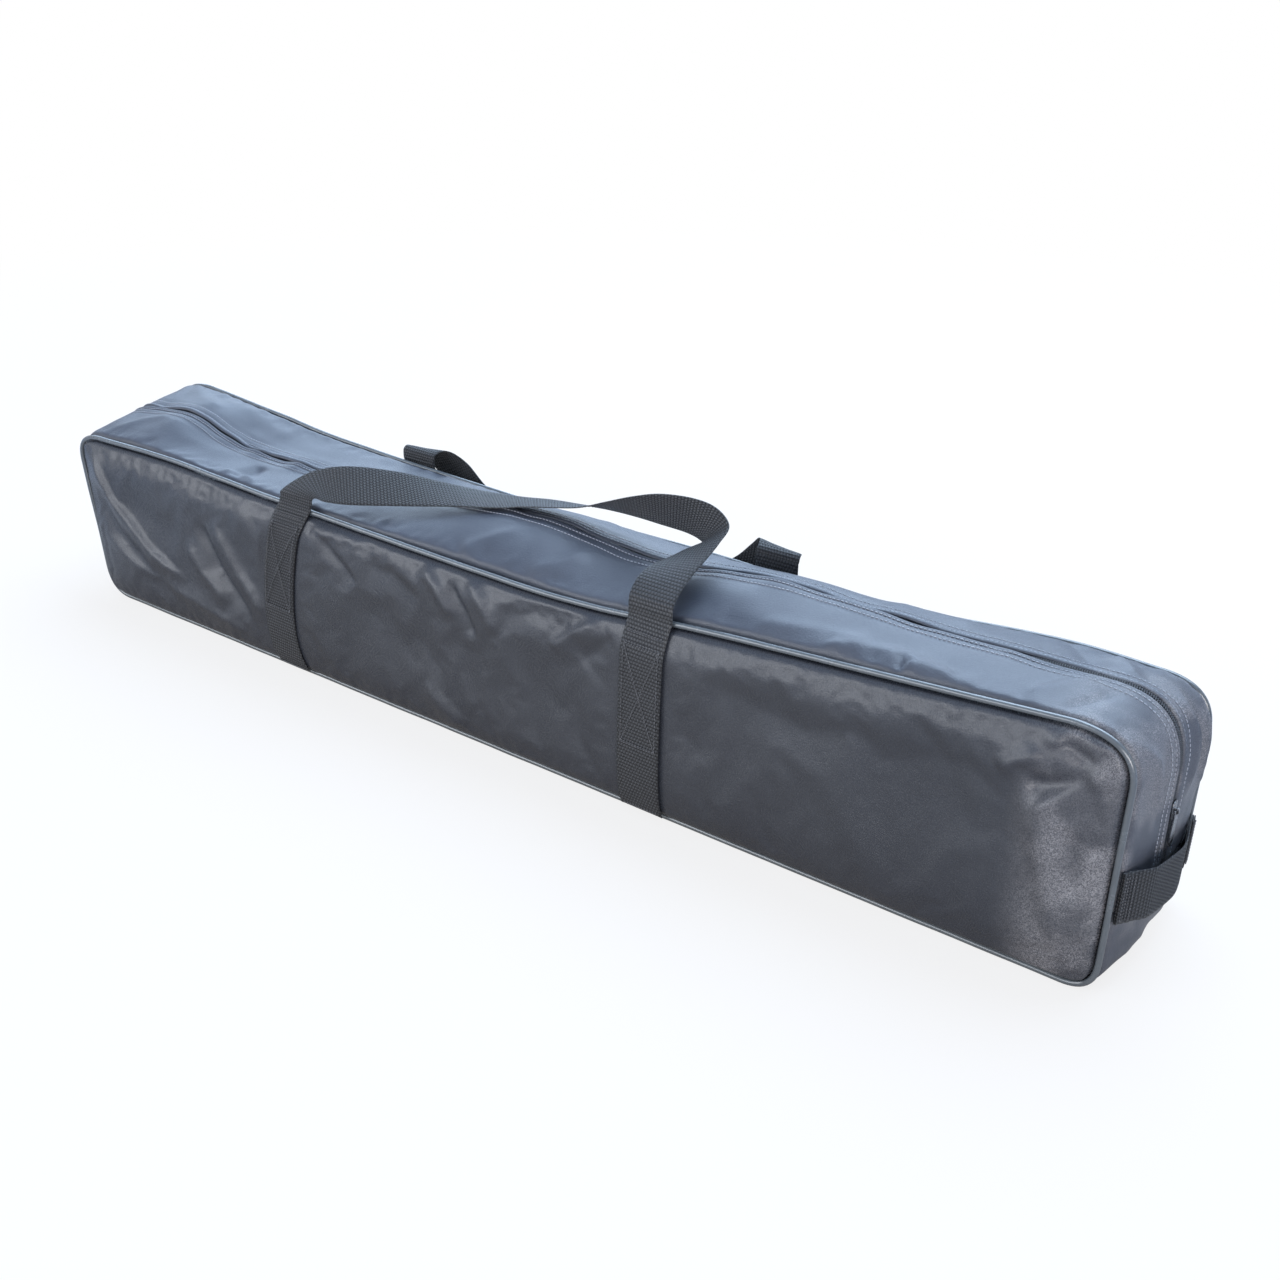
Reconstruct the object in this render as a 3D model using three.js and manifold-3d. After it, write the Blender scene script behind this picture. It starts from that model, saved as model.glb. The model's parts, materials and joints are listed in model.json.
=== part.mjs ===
// A portable pickleball net, packed: a zipped carry bag of coated cloth with webbing handles, and
// inside it the kit of slip-fit steel tubes, feet, connectors and the rolled net.
// Millimetres, +Z up. The origin is the middle of the bag's flat underside, +X runs along the bag
// to the end that the closed zip slider hangs on, and -Y is the front.
import * as THREE from 'three';
import { mergeVertices } from 'three/addons/utils/BufferGeometryUtils.js';
import Module from 'manifold-3d';

const wasm = await Module();
wasm.setup();

// ---- Driving dimensions: the kit ----
const tubeDiameter = 25.4;
const tubeWall = 1.2;
const slipClearance = 0.2;
const neckLength = 45;
const neckTaper = 6;
const railLength = 1000;
const endPostLength = 914;
const centrePostLength = 864;
const endFootLength = 600;
const centreFootLength = 400;
const spigotReach = 80;
const capWall = 1.8;
const capDepth = 28;
const capChamfer = 1.5;
const footSideGap = 1.5;
const plugHead = 3;
const plugDepth = 16;
const plugChamfer = 0.7;
const sleeveWall = 3;
const sleeveLength = 90;
const stubReach = 58;
const connectorGap = 30;
const netHeight = 762;
const netRollWidth = 124;
const netRollHeight = 78;
const netLayer = 6;
const netTurns = 4;
const topTapeWidth = 50;
const strapWidth = 25;
const strapThickness = 1.6;
const strapSpread = 150;

// ---- Driving dimensions: the bag, cut to hold the kit ----
const seat = 0.3;
const tubeGap = 0.4;
const tubesAcross = 5;
const sideRoom = 8;
const endRoom = 30.65;
const topRoom = 14.6;
const fabric = 1.2;
const panelCrown = 7;
const pipingRadius = 2.3;
const pipingProud = 0.4;
const seamHeight = 64;
const slack = 10;
const cornerReach = 30;

// ---- Driving dimensions: webbing and zip ----
const webbingWidth = 40;
const webbingThickness = 1.6;
const rootHeight = 11;
const frontRootLeft = -219;
const frontRootRight = 168;
const backRootMiddle = -14;
const backRootReach = 200;
const endHandleBow = 9;
const endHandleHeight = 66;
const endHandleSlope = 12;
const endHandleShoulder = 0.45;
const zipOpening = 6.4;
const tapeWidth = 13;
const tapeThickness = 0.8;
const toothSlot = 1.6;
const toothThickness = 2;
const stopLength = 3.5;
const sliderLength = 14;
const sliderWidth = 9;
const sliderPlate = 1.2;
const sliderHeight = 114;
const bridgeWidth = 2.2;
const bridgeWire = 1.2;
const tabLength = 28;
const tabWidth = 8;
const tabThickness = 1.2;
const tabCheek = 1.1;
const tabPlay = 0.5;

// ---- Sizes worked out from them ----
const tubeRadius = tubeDiameter / 2;
const boreRadius = tubeRadius - tubeWall;
const neckRadius = boreRadius - slipClearance;
const tubePitch = tubeDiameter + tubeGap;
const capRadius = tubeRadius + slipClearance + capWall;
const sleeveBore = tubeRadius + slipClearance;
const sleeveRadius = sleeveBore + sleeveWall;

const firstLayer = fabric + seat + tubeRadius;
const layerRise = Math.sqrt((tubeDiameter + seat) ** 2 - (tubePitch / 2) ** 2);
const secondLayer = firstLayer + layerRise;
const shelf = secondLayer + tubeRadius + seat;
const footLayer = shelf + neckRadius;
const netBottom = footLayer + neckRadius + seat;
const netTop = netBottom + netRollHeight;

const halfWidth = (tubesAcross * tubePitch) / 2 + sideRoom;
const capReach = capWall + seat;
const feetLength = endFootLength + centreFootLength + 4 * capReach + seat;
const netLength = netHeight + 2 * (connectorGap + sleeveLength);
const kitHalf = Math.max(railLength, feetLength, netLength) / 2;
const halfLength = kitHalf + endRoom;
const lowestTop = netTop + topRoom;
const pipingY = halfWidth + pipingProud - pipingRadius;
const gussetHalf = pipingY - pipingRadius - seat;
const pipingInset = pipingRadius + 0.1;
const panelInset = pipingInset + pipingRadius + seat;
const rootTop = lowestTop + rootHeight;

// ---- The bag's outline, seen from the front ----
// The slack top edges: share of the bag's length, and rise above the lowest point in lengths of slack.
const frontTop = [
  [-0.472, 0.8], [-0.37, 1], [-0.25, 0.5], [-0.02, 0], [0.09, 0.1], [0.2, 1.2], [0.33, 2.2], [0.458, 3.2],
];
const backTop = [
  [-0.48, 2.6], [-0.38, 1.7], [-0.28, 0.8], [-0.04, 0], [0.1, 0.1], [0.2, 0], [0.27, 0.1], [0.4, 1.3],
  [0.466, 1.2],
];
const middleTop = [
  [-0.472, 2.1], [-0.42, 2.5], [-0.36, 0.9], [-0.265, 0.5], [-0.154, 1], [0, 2.5],
  [0.106, 1.8], [0.218, 3], [0.33, 2.8], [0.462, 3],
];
// How far each end leans out at the floor and at the top, in lengths of slack, and the corners' reach.
const frontEdge = {
  top: frontTop, right: [-0.1, 0.1], left: [-0.8, 1.4],
  bottomCorner: { right: 0.87, left: 1 }, topCorner: { right: 1.23, left: 1.1 },
};
const backEdge = {
  top: backTop, right: [0.4, 0.6], left: [0.8, 2.3],
  bottomCorner: { right: 1.5, left: 1.27 }, topCorner: { right: 1.3, left: 1.03 },
};
const middleEdge = {
  top: middleTop, right: [0.7, 0.7], left: [0.2, 1.6],
  bottomCorner: { right: 1.07, left: 1.07 }, topCorner: { right: 1.77, left: 1.2 },
};

// Steps along each stretch of the outline.
const lowSideSteps = 2;
const highSideSteps = 3;
const cornerSteps = 6;
const longSteps = 24;

const lerp = THREE.MathUtils.lerp;

/** Points of the curve from one corner tangent to the other, the first one left out. */
function roundCorner(from, corner, to) {
  const curve = new THREE.QuadraticBezierCurve(from, corner, to);
  return curve.getPoints(cornerSteps).slice(1);
}

/** Evenly stepped points of a straight stretch, the first one left out. */
function straight(from, to, steps) {
  return new THREE.LineCurve(from, to).getPoints(steps).slice(1);
}

/** One edge loop in x and z: the lower part from seam to seam, then the upper part back again. */
function edgeLoop(edge) {
  const topPoints = edge.top.map(([share, rise]) =>
    new THREE.Vector2(share * 2 * halfLength, lowestTop + rise * slack));
  const topLeft = topPoints[0];
  const topRight = topPoints[topPoints.length - 1];
  const rightX = (z) => halfLength + slack * lerp(edge.right[0], edge.right[1], z / topRight.y);
  const leftX = (z) => -halfLength - slack * lerp(edge.left[0], edge.left[1], z / topLeft.y);
  const onRight = (z) => new THREE.Vector2(rightX(z), z);
  const onLeft = (z) => new THREE.Vector2(leftX(z), z);

  const bottom = {
    left: edge.bottomCorner.left * cornerReach,
    right: edge.bottomCorner.right * cornerReach,
  };
  const leftFoot = new THREE.Vector2(leftX(0) + bottom.left, 0);
  const rightFoot = new THREE.Vector2(rightX(0) - bottom.right, 0);
  const lower = [
    onLeft(seamHeight - seat / 2),
    ...straight(onLeft(seamHeight - seat / 2), onLeft(bottom.left), lowSideSteps),
    ...roundCorner(onLeft(bottom.left), onLeft(0), leftFoot),
    ...straight(leftFoot, rightFoot, longSteps),
    ...roundCorner(rightFoot, onRight(0), onRight(bottom.right)),
    ...straight(onRight(bottom.right), onRight(seamHeight - seat / 2), lowSideSteps),
  ];

  const rightShoulder = topRight.y - edge.topCorner.right * cornerReach;
  const leftShoulder = topLeft.y - edge.topCorner.left * cornerReach;
  const ridge = new THREE.SplineCurve(topPoints).getPoints(longSteps * 8);
  const ridgeAt = (x) => {
    const inside = THREE.MathUtils.clamp(x, topLeft.x, topRight.x);
    const next = Math.max(1, ridge.findIndex((point) => point.x >= inside));
    const [a, b] = [ridge[next - 1], ridge[next]];
    return lerp(a.y, b.y, (inside - a.x) / (b.x - a.x));
  };
  const top = [];
  for (let i = 1; i <= longSteps; i++) {
    const x = lerp(topRight.x, topLeft.x, i / longSteps);
    top.push(new THREE.Vector2(x, ridgeAt(x)));
  }
  const upper = [
    onRight(seamHeight + seat / 2),
    ...straight(onRight(seamHeight + seat / 2), onRight(rightShoulder), highSideSteps),
    ...roundCorner(onRight(rightShoulder), onRight(topRight.y), topRight),
    ...top,
    ...roundCorner(topLeft, onLeft(topLeft.y), onLeft(leftShoulder)),
    ...straight(onLeft(leftShoulder), onLeft(seamHeight + seat / 2), highSideSteps),
  ];
  return { lower, upper, all: [...lower, ...upper], ridgeAt, rightX, leftX };
}

const front = edgeLoop(frontEdge);
const back = edgeLoop(backEdge);
const middle = edgeLoop(middleEdge);

/** A closed loop moved inward by a distance, in its own plane. */
function insetLoop(points, distance) {
  return points.map((point, i) => {
    const before = points[(i + points.length - 1) % points.length];
    const after = points[(i + 1) % points.length];
    const along = after.clone().sub(before).normalize();
    return new THREE.Vector2(point.x - along.y * distance, point.y + along.x * distance);
  });
}

// ---- Closed solids from grids and rings ----

/** Builds a closed geometry from points and faces, turned so that its faces point out. */
function closedGeometry(points, faces) {
  let volume = 0;
  const turned = new THREE.Vector3();
  for (const [a, b, c] of faces) {
    volume += points[a].dot(turned.crossVectors(points[b], points[c]));
  }
  const index = faces.flatMap(([a, b, c]) => (volume > 0 ? [a, b, c] : [a, c, b]));
  const geometry = new THREE.BufferGeometry().setFromPoints(points);
  geometry.setIndex(index);
  geometry.computeVertexNormals();
  return geometry;
}

/** Unit normals of a grid of points, along step one crossed with step two. */
function gridNormals(grid) {
  return grid.map((row, i) => row.map((point, j) => {
    const up = grid[Math.min(i + 1, grid.length - 1)][j].clone().sub(grid[Math.max(i - 1, 0)][j]);
    const over = row[Math.min(j + 1, row.length - 1)].clone().sub(row[Math.max(j - 1, 0)]);
    return up.cross(over).normalize();
  }));
}

/** A sheet with thickness: the space between two offsets of a grid along its normals. */
function sheet(grid, near, far, normals = gridNormals(grid)) {
  const rows = grid.length;
  const columns = grid[0].length;
  const points = [];
  for (const offset of [near, far]) {
    grid.forEach((row, i) => row.forEach((point, j) => {
      points.push(point.clone().addScaledVector(normals[i][j], offset));
    }));
  }
  const at = (layer, i, j) => layer * rows * columns + i * columns + j;
  const faces = [];
  const quad = (a, b, c, d) => faces.push([a, b, c], [a, c, d]);
  for (let i = 0; i < rows - 1; i++) {
    for (let j = 0; j < columns - 1; j++) {
      quad(at(0, i, j), at(0, i, j + 1), at(0, i + 1, j + 1), at(0, i + 1, j));
      quad(at(1, i, j), at(1, i + 1, j), at(1, i + 1, j + 1), at(1, i, j + 1));
    }
  }
  for (let i = 0; i < rows - 1; i++) {
    quad(at(0, i, 0), at(0, i + 1, 0), at(1, i + 1, 0), at(1, i, 0));
    quad(at(0, i + 1, columns - 1), at(0, i, columns - 1), at(1, i, columns - 1), at(1, i + 1, columns - 1));
  }
  for (let j = 0; j < columns - 1; j++) {
    quad(at(0, 0, j + 1), at(0, 0, j), at(1, 0, j), at(1, 0, j + 1));
    quad(at(0, rows - 1, j), at(0, rows - 1, j + 1), at(1, rows - 1, j + 1), at(1, rows - 1, j));
  }
  return closedGeometry(points, faces);
}

/** A round cord along a closed loop in x and z, at one y. */
function loopCord(loop, y, radius, sides) {
  const points = [];
  const inner = insetLoop(loop, 1);
  loop.forEach((centre, i) => {
    const inward = inner[i].clone().sub(centre).normalize();
    for (let k = 0; k < sides; k++) {
      const turn = ((k + 0.5) / sides) * 2 * Math.PI;
      const reach = radius * Math.cos(turn);
      points.push(new THREE.Vector3(
        centre.x + inward.x * reach, y + radius * Math.sin(turn), centre.y + inward.y * reach));
    }
  });
  const faces = [];
  for (let i = 0; i < loop.length; i++) {
    const next = (i + 1) % loop.length;
    for (let k = 0; k < sides; k++) {
      const side = (k + 1) % sides;
      const [a, b, c, d] = [i * sides + k, i * sides + side, next * sides + side, next * sides + k];
      faces.push([a, b, c], [a, c, d]);
    }
  }
  return closedGeometry(points, faces);
}

/** A three.js geometry as a manifold solid, for joining and cutting. */
function toSolid(geometry) {
  const bare = geometry.clone();
  bare.deleteAttribute('normal');
  bare.deleteAttribute('uv');
  const merged = mergeVertices(bare, 1e-4);
  return new wasm.Manifold(new wasm.Mesh({
    numProp: 3,
    vertProperties: new Float32Array(merged.attributes.position.array),
    triVerts: new Uint32Array(merged.index.array),
  }));
}

/** A manifold solid as a three.js geometry. */
function toGeometry(solid) {
  const cut = solid.getMesh();
  const geometry = new THREE.BufferGeometry();
  geometry.setAttribute('position', new THREE.BufferAttribute(cut.vertProperties, cut.numProp));
  geometry.setIndex(new THREE.BufferAttribute(cut.triVerts, 1));
  geometry.computeVertexNormals();
  return geometry;
}

// ---- Materials ----
const cloth = { color: 0x2f3440, roughness: 0.45, metalness: 0 };
const lining = { color: 0x4a5666, roughness: 0.5, metalness: 0 };
const pipingVinyl = { color: 0x62666c, roughness: 0.4, metalness: 0 };
const webbing = { color: 0x26272b, roughness: 0.75, metalness: 0 };
const zipTape = { color: 0x1b1c20, roughness: 0.8, metalness: 0 };
const coil = { color: 0x141519, roughness: 0.45, metalness: 0 };
const sliderMetal = { color: 0x8a8c90, roughness: 0.3, metalness: 1 };
const powderCoat = { color: 0x202226, roughness: 0.5, metalness: 0.4 };
const plugPlastic = { color: 0x17181a, roughness: 0.6, metalness: 0 };
const footRubber = { color: 0x101112, roughness: 0.85, metalness: 0 };
const netting = { color: 0x151619, roughness: 0.9, metalness: 0 };
const whiteTape = { color: 0xe6e6e2, roughness: 0.8, metalness: 0 };

const product = new THREE.Group();
const bag = new THREE.Group();
const kit = new THREE.Group();
product.add(bag, kit);

function add(parent, name, geometry, finish) {
  const mesh = new THREE.Mesh(geometry, new THREE.MeshStandardMaterial(finish));
  mesh.name = name;
  parent.add(mesh);
  return mesh;
}

// ---- The bag's cloth ----

/** How far a face panel stands out at x and z: full in the middle, nothing at its seams. */
function crownAt(edges, x, z) {
  const reach = Math.min(1, Math.abs(x) / halfLength);
  const share = THREE.MathUtils.clamp(z / edges.ridgeAt(x), 0, 1);
  return panelCrown * (1 - reach ** 6) * 4 * share * (1 - share);
}

/** A face panel: a patch spanned between the four stretches of its outline. */
function facePanel(edges, side) {
  const loop = insetLoop(edges.all, panelInset);
  const half = cornerSteps / 2;
  const lowerCount = edges.lower.length;
  const bottomLeft = lowSideSteps + half;
  const bottomRight = bottomLeft + cornerSteps + longSteps;
  const topRight = lowerCount + highSideSteps + half;
  const topLeft = topRight + cornerSteps + longSteps;
  const across = bottomRight - bottomLeft;
  const upward = topRight - bottomRight;
  const bottomAt = (i) => loop[bottomLeft + i];
  const topAt = (i) => loop[topLeft - i];
  const rightAt = (j) => loop[bottomRight + j];
  const leftAt = (j) => loop[(loop.length + bottomLeft - j) % loop.length];
  const grid = [];
  for (let i = 0; i <= across; i++) {
    const column = [];
    for (let j = 0; j <= upward; j++) {
      const [a, b] = [i / across, j / upward];
      const point = bottomAt(i).clone().lerp(topAt(i), b);
      point.add(leftAt(j).clone().lerp(rightAt(j), a));
      const low = bottomAt(0).clone().lerp(bottomAt(across), a);
      point.sub(low.lerp(topAt(0).clone().lerp(topAt(across), a), b));
      const y = side * (halfWidth + crownAt(edges, point.x, point.y));
      column.push(new THREE.Vector3(point.x, y, point.y));
    }
    grid.push(column);
  }
  return sheet(grid, 0, side * fabric);
}

/** A point of the band round the bag: station on the edge loops, and share across from -1 to 1. */
function bandPoint(part, station, share) {
  const low = Math.min(Math.floor(station), front[part].length - 2);
  const onLoop = (edges) => edges[part][low].clone().lerp(edges[part][low + 1], station - low);
  const [a, b, m] = [onLoop(front), onLoop(back), onLoop(middle)];
  const mean = a.clone().add(b).multiplyScalar(0.5);
  const point = a.lerp(b, (1 + share) / 2).addScaledVector(m.sub(mean), 1 - share ** 2);
  return new THREE.Vector3(point.x, share * gussetHalf, point.y);
}

/** The band's normal into the bag at a station and a share across. */
function bandNormal(part, station, share) {
  const last = front[part].length - 1;
  const [ahead, aside] = [0.5, 0.01];
  const along = bandPoint(part, Math.min(station + ahead, last), share);
  along.sub(bandPoint(part, Math.max(station - ahead, 0), share));
  const over = bandPoint(part, station, share + aside).sub(bandPoint(part, station, share - aside));
  return along.cross(over).normalize();
}

/** A strip of the band between two shares across, with its depths below the outer face. */
function bandStrip(part, shares, near, far, trim = [0, 0]) {
  const last = front[part].length - 1;
  const stations = evenly(0, last, last).map((i) => THREE.MathUtils.clamp(i, trim[0], last - trim[1]));
  const grid = stations.map((station) => shares.map((share) => bandPoint(part, station, share)));
  const normals = stations.map((station) => shares.map((share) => bandNormal(part, station, share)));
  return sheet(grid, near, far, normals);
}

function evenly(from, to, steps) {
  return Array.from({ length: steps + 1 }, (_, i) => lerp(from, to, i / steps));
}

const lipShare = zipOpening / 2 / gussetHalf;
const tapeShare = lipShare + tapeWidth / gussetHalf;
const stripShares = [lipShare, tapeShare, (2 * tapeShare + 1) / 3, 1];
add(bag, 'front_panel', facePanel(front, -1), cloth);
add(bag, 'back_panel', facePanel(back, 1), cloth);
add(bag, 'bottom_band', bandStrip('lower', evenly(-1, 1, 4), 0, fabric), cloth);
add(bag, 'top_strip_front', bandStrip('upper', stripShares.map((s) => -s).reverse(), 0, fabric), lining);
add(bag, 'top_strip_back', bandStrip('upper', stripShares, 0, fabric), lining);

const pipingSides = 6;
for (const [name, edges, side] of [['piping_front', front, -1], ['piping_back', back, 1]]) {
  const route = insetLoop(edges.all, pipingInset);
  add(bag, name, loopCord(route, side * pipingY, pipingRadius, pipingSides), pipingVinyl);
}

// ---- The zip ----
const tapeDepth = fabric + seat;
const toothInner = toothSlot / 2;
const toothOuter = zipOpening / 2 - seat;
const toothDepth = tapeDepth + tapeThickness - toothThickness;
const lastStation = front.upper.length - 1;
const stopTrim = [[0, 1], [lastStation, lastStation - 1]].map(([end, next]) =>
  (stopLength + 2 * seat) / bandPoint('upper', end, 0).distanceTo(bandPoint('upper', next, 0)));
for (const [end, side] of [['front', -1], ['back', 1]]) {
  const tapeShares = [side * lipShare, side * tapeShare];
  const tape = bandStrip('upper', tapeShares, tapeDepth, tapeDepth + tapeThickness);
  add(bag, `zip_tape_${end}`, tape, zipTape);
  const toothShares = [side * toothInner, side * toothOuter].map((y) => y / gussetHalf);
  const teeth = bandStrip('upper', toothShares, toothDepth, toothDepth + toothThickness, stopTrim);
  add(bag, `zip_teeth_${end}`, teeth, coil);
}

/** The stop that closes both rows of teeth at one lower end of the zip. */
function zipStop(end) {
  const place = bandPoint('upper', end === 'right' ? 0 : lastStation, 0);
  const beyond = bandPoint('upper', end === 'right' ? 1 : lastStation - 1, 0);
  const along = beyond.clone().sub(place).normalize();
  const inward = along.clone().cross(new THREE.Vector3(0, end === 'right' ? 1 : -1, 0));
  const block = new THREE.BoxGeometry(toothThickness, 2 * toothOuter, stopLength);
  const frame = new THREE.Matrix4().makeBasis(inward, along.clone().cross(inward), along);
  frame.setPosition(place.addScaledVector(along, stopLength / 2 + seat)
    .addScaledVector(inward, toothDepth + toothThickness / 2));
  block.applyMatrix4(frame);
  return block;
}
add(bag, 'zip_stop_right', zipStop('right'), sliderMetal);
add(bag, 'zip_stop_left', zipStop('left'), sliderMetal);

const zipFace = bandPoint('upper', 1, 0).x;

/** One plate of the slider: wide at the top where the rows part, narrow at the foot. */
function sliderPlateOutline() {
  const top = sliderLength / 2;
  const shape = new THREE.Shape();
  shape.moveTo(-sliderWidth * 0.32, -top);
  shape.lineTo(sliderWidth * 0.32, -top);
  shape.quadraticCurveTo(sliderWidth / 2, -top * 0.2, sliderWidth / 2, top * 0.45);
  shape.quadraticCurveTo(sliderWidth / 2, top, sliderWidth * 0.18, top);
  shape.lineTo(-sliderWidth * 0.18, top);
  shape.quadraticCurveTo(-sliderWidth / 2, top, -sliderWidth / 2, top * 0.45);
  shape.quadraticCurveTo(-sliderWidth / 2, -top * 0.2, -sliderWidth * 0.32, -top);
  return shape;
}

/** Stands an extruded outline on the end of the bag: its height runs up z, its depth out along x. */
function standOnEnd(geometry, out) {
  const turn = new THREE.Matrix4().makeBasis(
    new THREE.Vector3(0, 1, 0), new THREE.Vector3(0, 0, 1), new THREE.Vector3(1, 0, 0));
  turn.setPosition(zipFace + out, 0, sliderHeight);
  return geometry.applyMatrix4(turn);
}

const innerPlate = toothDepth + toothThickness + seat + sliderPlate;
const plateTop = seat + sliderPlate;
const eyeHalf = tabThickness / 2 + tabPlay - 0.1;
const eyeCentre = plateTop + eyeHalf;
const bridgeTop = eyeCentre + eyeHalf + bridgeWire;

/** The arch over the outer plate that the tab's bar turns in. */
function bridgeArch() {
  const half = eyeHalf + bridgeWire;
  const shape = new THREE.Shape();
  shape.moveTo(-half, plateTop - sliderPlate / 2);
  shape.lineTo(half, plateTop - sliderPlate / 2);
  shape.lineTo(half, bridgeTop - bridgeWire);
  shape.quadraticCurveTo(half, bridgeTop, half - bridgeWire, bridgeTop);
  shape.lineTo(-half + bridgeWire, bridgeTop);
  shape.quadraticCurveTo(-half, bridgeTop, -half, bridgeTop - bridgeWire);
  const eye = new THREE.Path();
  eye.moveTo(-eyeHalf, plateTop);
  eye.lineTo(-eyeHalf, bridgeTop - bridgeWire);
  eye.lineTo(eyeHalf, bridgeTop - bridgeWire);
  eye.lineTo(eyeHalf, plateTop);
  shape.holes.push(eye);
  const settings = { depth: bridgeWidth, bevelEnabled: false, curveSegments: 3 };
  const arch = new THREE.ExtrudeGeometry(shape, settings);
  const turn = new THREE.Matrix4().makeBasis(
    new THREE.Vector3(0, 0, 1), new THREE.Vector3(1, 0, 0), new THREE.Vector3(0, 1, 0));
  turn.setPosition(zipFace, -bridgeWidth / 2, sliderHeight);
  return arch.applyMatrix4(turn);
}

function zipSlider() {
  const plate = () => new THREE.ExtrudeGeometry(sliderPlateOutline(), {
    depth: sliderPlate, bevelEnabled: false, curveSegments: 4,
  });
  const postLength = innerPlate + plateTop - sliderPlate;
  const post = new THREE.BoxGeometry(postLength, toothSlot - 2 * seat, sliderLength * 0.25);
  post.translate(zipFace + seat + sliderPlate / 2 - postLength / 2, 0, sliderHeight + sliderLength * 0.33);
  const outer = toSolid(standOnEnd(plate(), seat));
  const inner = toSolid(standOnEnd(plate(), -innerPlate));
  const body = outer.add(inner).add(toSolid(post)).add(toSolid(bridgeArch()));
  return toGeometry(body);
}
add(bag, 'zip_slider', zipSlider(), sliderMetal);

/** The pull tab: a bar through the bridge, two cheeks past its legs, and a blade that widens. */
function pullTab() {
  const bar = tabThickness / 2;
  const window = eyeHalf + bridgeWire + bar;
  const windowHalf = bridgeWidth / 2 + tabPlay;
  const neck = windowHalf + tabCheek;
  const shoulder = window + 2 * tabCheek;
  const shape = new THREE.Shape();
  shape.moveTo(-neck, bar);
  shape.lineTo(-neck, -shoulder);
  shape.lineTo(-tabWidth / 2, -tabLength * 0.55);
  shape.lineTo(-tabWidth / 2, -tabLength + tabWidth * 0.4);
  shape.quadraticCurveTo(-tabWidth / 2, -tabLength, 0, -tabLength);
  shape.quadraticCurveTo(tabWidth / 2, -tabLength, tabWidth / 2, -tabLength + tabWidth * 0.4);
  shape.lineTo(tabWidth / 2, -tabLength * 0.55);
  shape.lineTo(neck, -shoulder);
  shape.lineTo(neck, bar);
  const eye = new THREE.Path();
  eye.moveTo(-windowHalf, -bar);
  eye.lineTo(windowHalf, -bar);
  eye.lineTo(windowHalf, -window - tabPlay);
  eye.lineTo(-windowHalf, -window - tabPlay);
  shape.holes.push(eye);
  const settings = { depth: tabThickness, bevelEnabled: false, curveSegments: 5 };
  return standOnEnd(new THREE.ExtrudeGeometry(shape, settings), eyeCentre - tabThickness / 2);
}
add(bag, 'zip_pull_tab', pullTab(), sliderMetal);

// ---- Webbing ----
const runInner = halfWidth + pipingProud + seat;
const rootY = runInner + webbingThickness / 2;

/** A ribbon of webbing along hand-chosen stations of place and outer-edge direction. */
function ribbon(stations, stepsBetween, steps = 2) {
  const places = new THREE.CatmullRomCurve3(stations.map((s) => new THREE.Vector3(...s.slice(0, 3))));
  const edges = new THREE.CatmullRomCurve3(stations.map((s) => new THREE.Vector3(...s.slice(3))));
  const count = (stations.length - 1) * stepsBetween;
  const grid = [];
  for (let i = 0; i <= count; i++) {
    const place = places.getPoint(i / count);
    const edge = edges.getPoint(i / count).normalize();
    grid.push(evenly(-webbingWidth / 2, webbingWidth / 2, steps).map((reach) =>
      place.clone().addScaledVector(edge, reach)));
  }
  return sheet(grid, -webbingThickness / 2, webbingThickness / 2);
}

/** A sewn run of webbing up a face panel, over the piping to its root; it leans by shares of its width. */
function handleRun(edges, side, rootX, footLean, waistLean) {
  const path = new THREE.QuadraticBezierCurve3(
    new THREE.Vector3(rootX + footLean * webbingWidth, 0, panelInset),
    new THREE.Vector3(rootX + waistLean * webbingWidth, 0, lowestTop * 0.4),
    new THREE.Vector3(rootX, 0, rootTop - 3 * seat));
  const grid = path.getPoints(14).map((centre) => evenly(-1, 1, 2).map((reach) => {
    const x = centre.x + reach * webbingWidth / 2;
    const y = runInner + crownAt(edges, x, centre.z);
    return new THREE.Vector3(x, side * y, centre.z);
  }));
  return sheet(grid, 0, side < 0 ? -webbingThickness : webbingThickness);
}

const backRootLeft = backRootMiddle - backRootReach;
const backRootRight = backRootMiddle + backRootReach;
add(bag, 'front_handle_run_left', handleRun(front, -1, frontRootLeft, -0.52, -1.08), webbing);
add(bag, 'front_handle_run_right', handleRun(front, -1, frontRootRight, -0.1, -0.12), webbing);
add(bag, 'back_handle_run_left', handleRun(back, 1, backRootLeft, 0, 0), webbing);
add(bag, 'back_handle_run_right', handleRun(back, 1, backRootRight, 0, 0), webbing);

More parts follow.
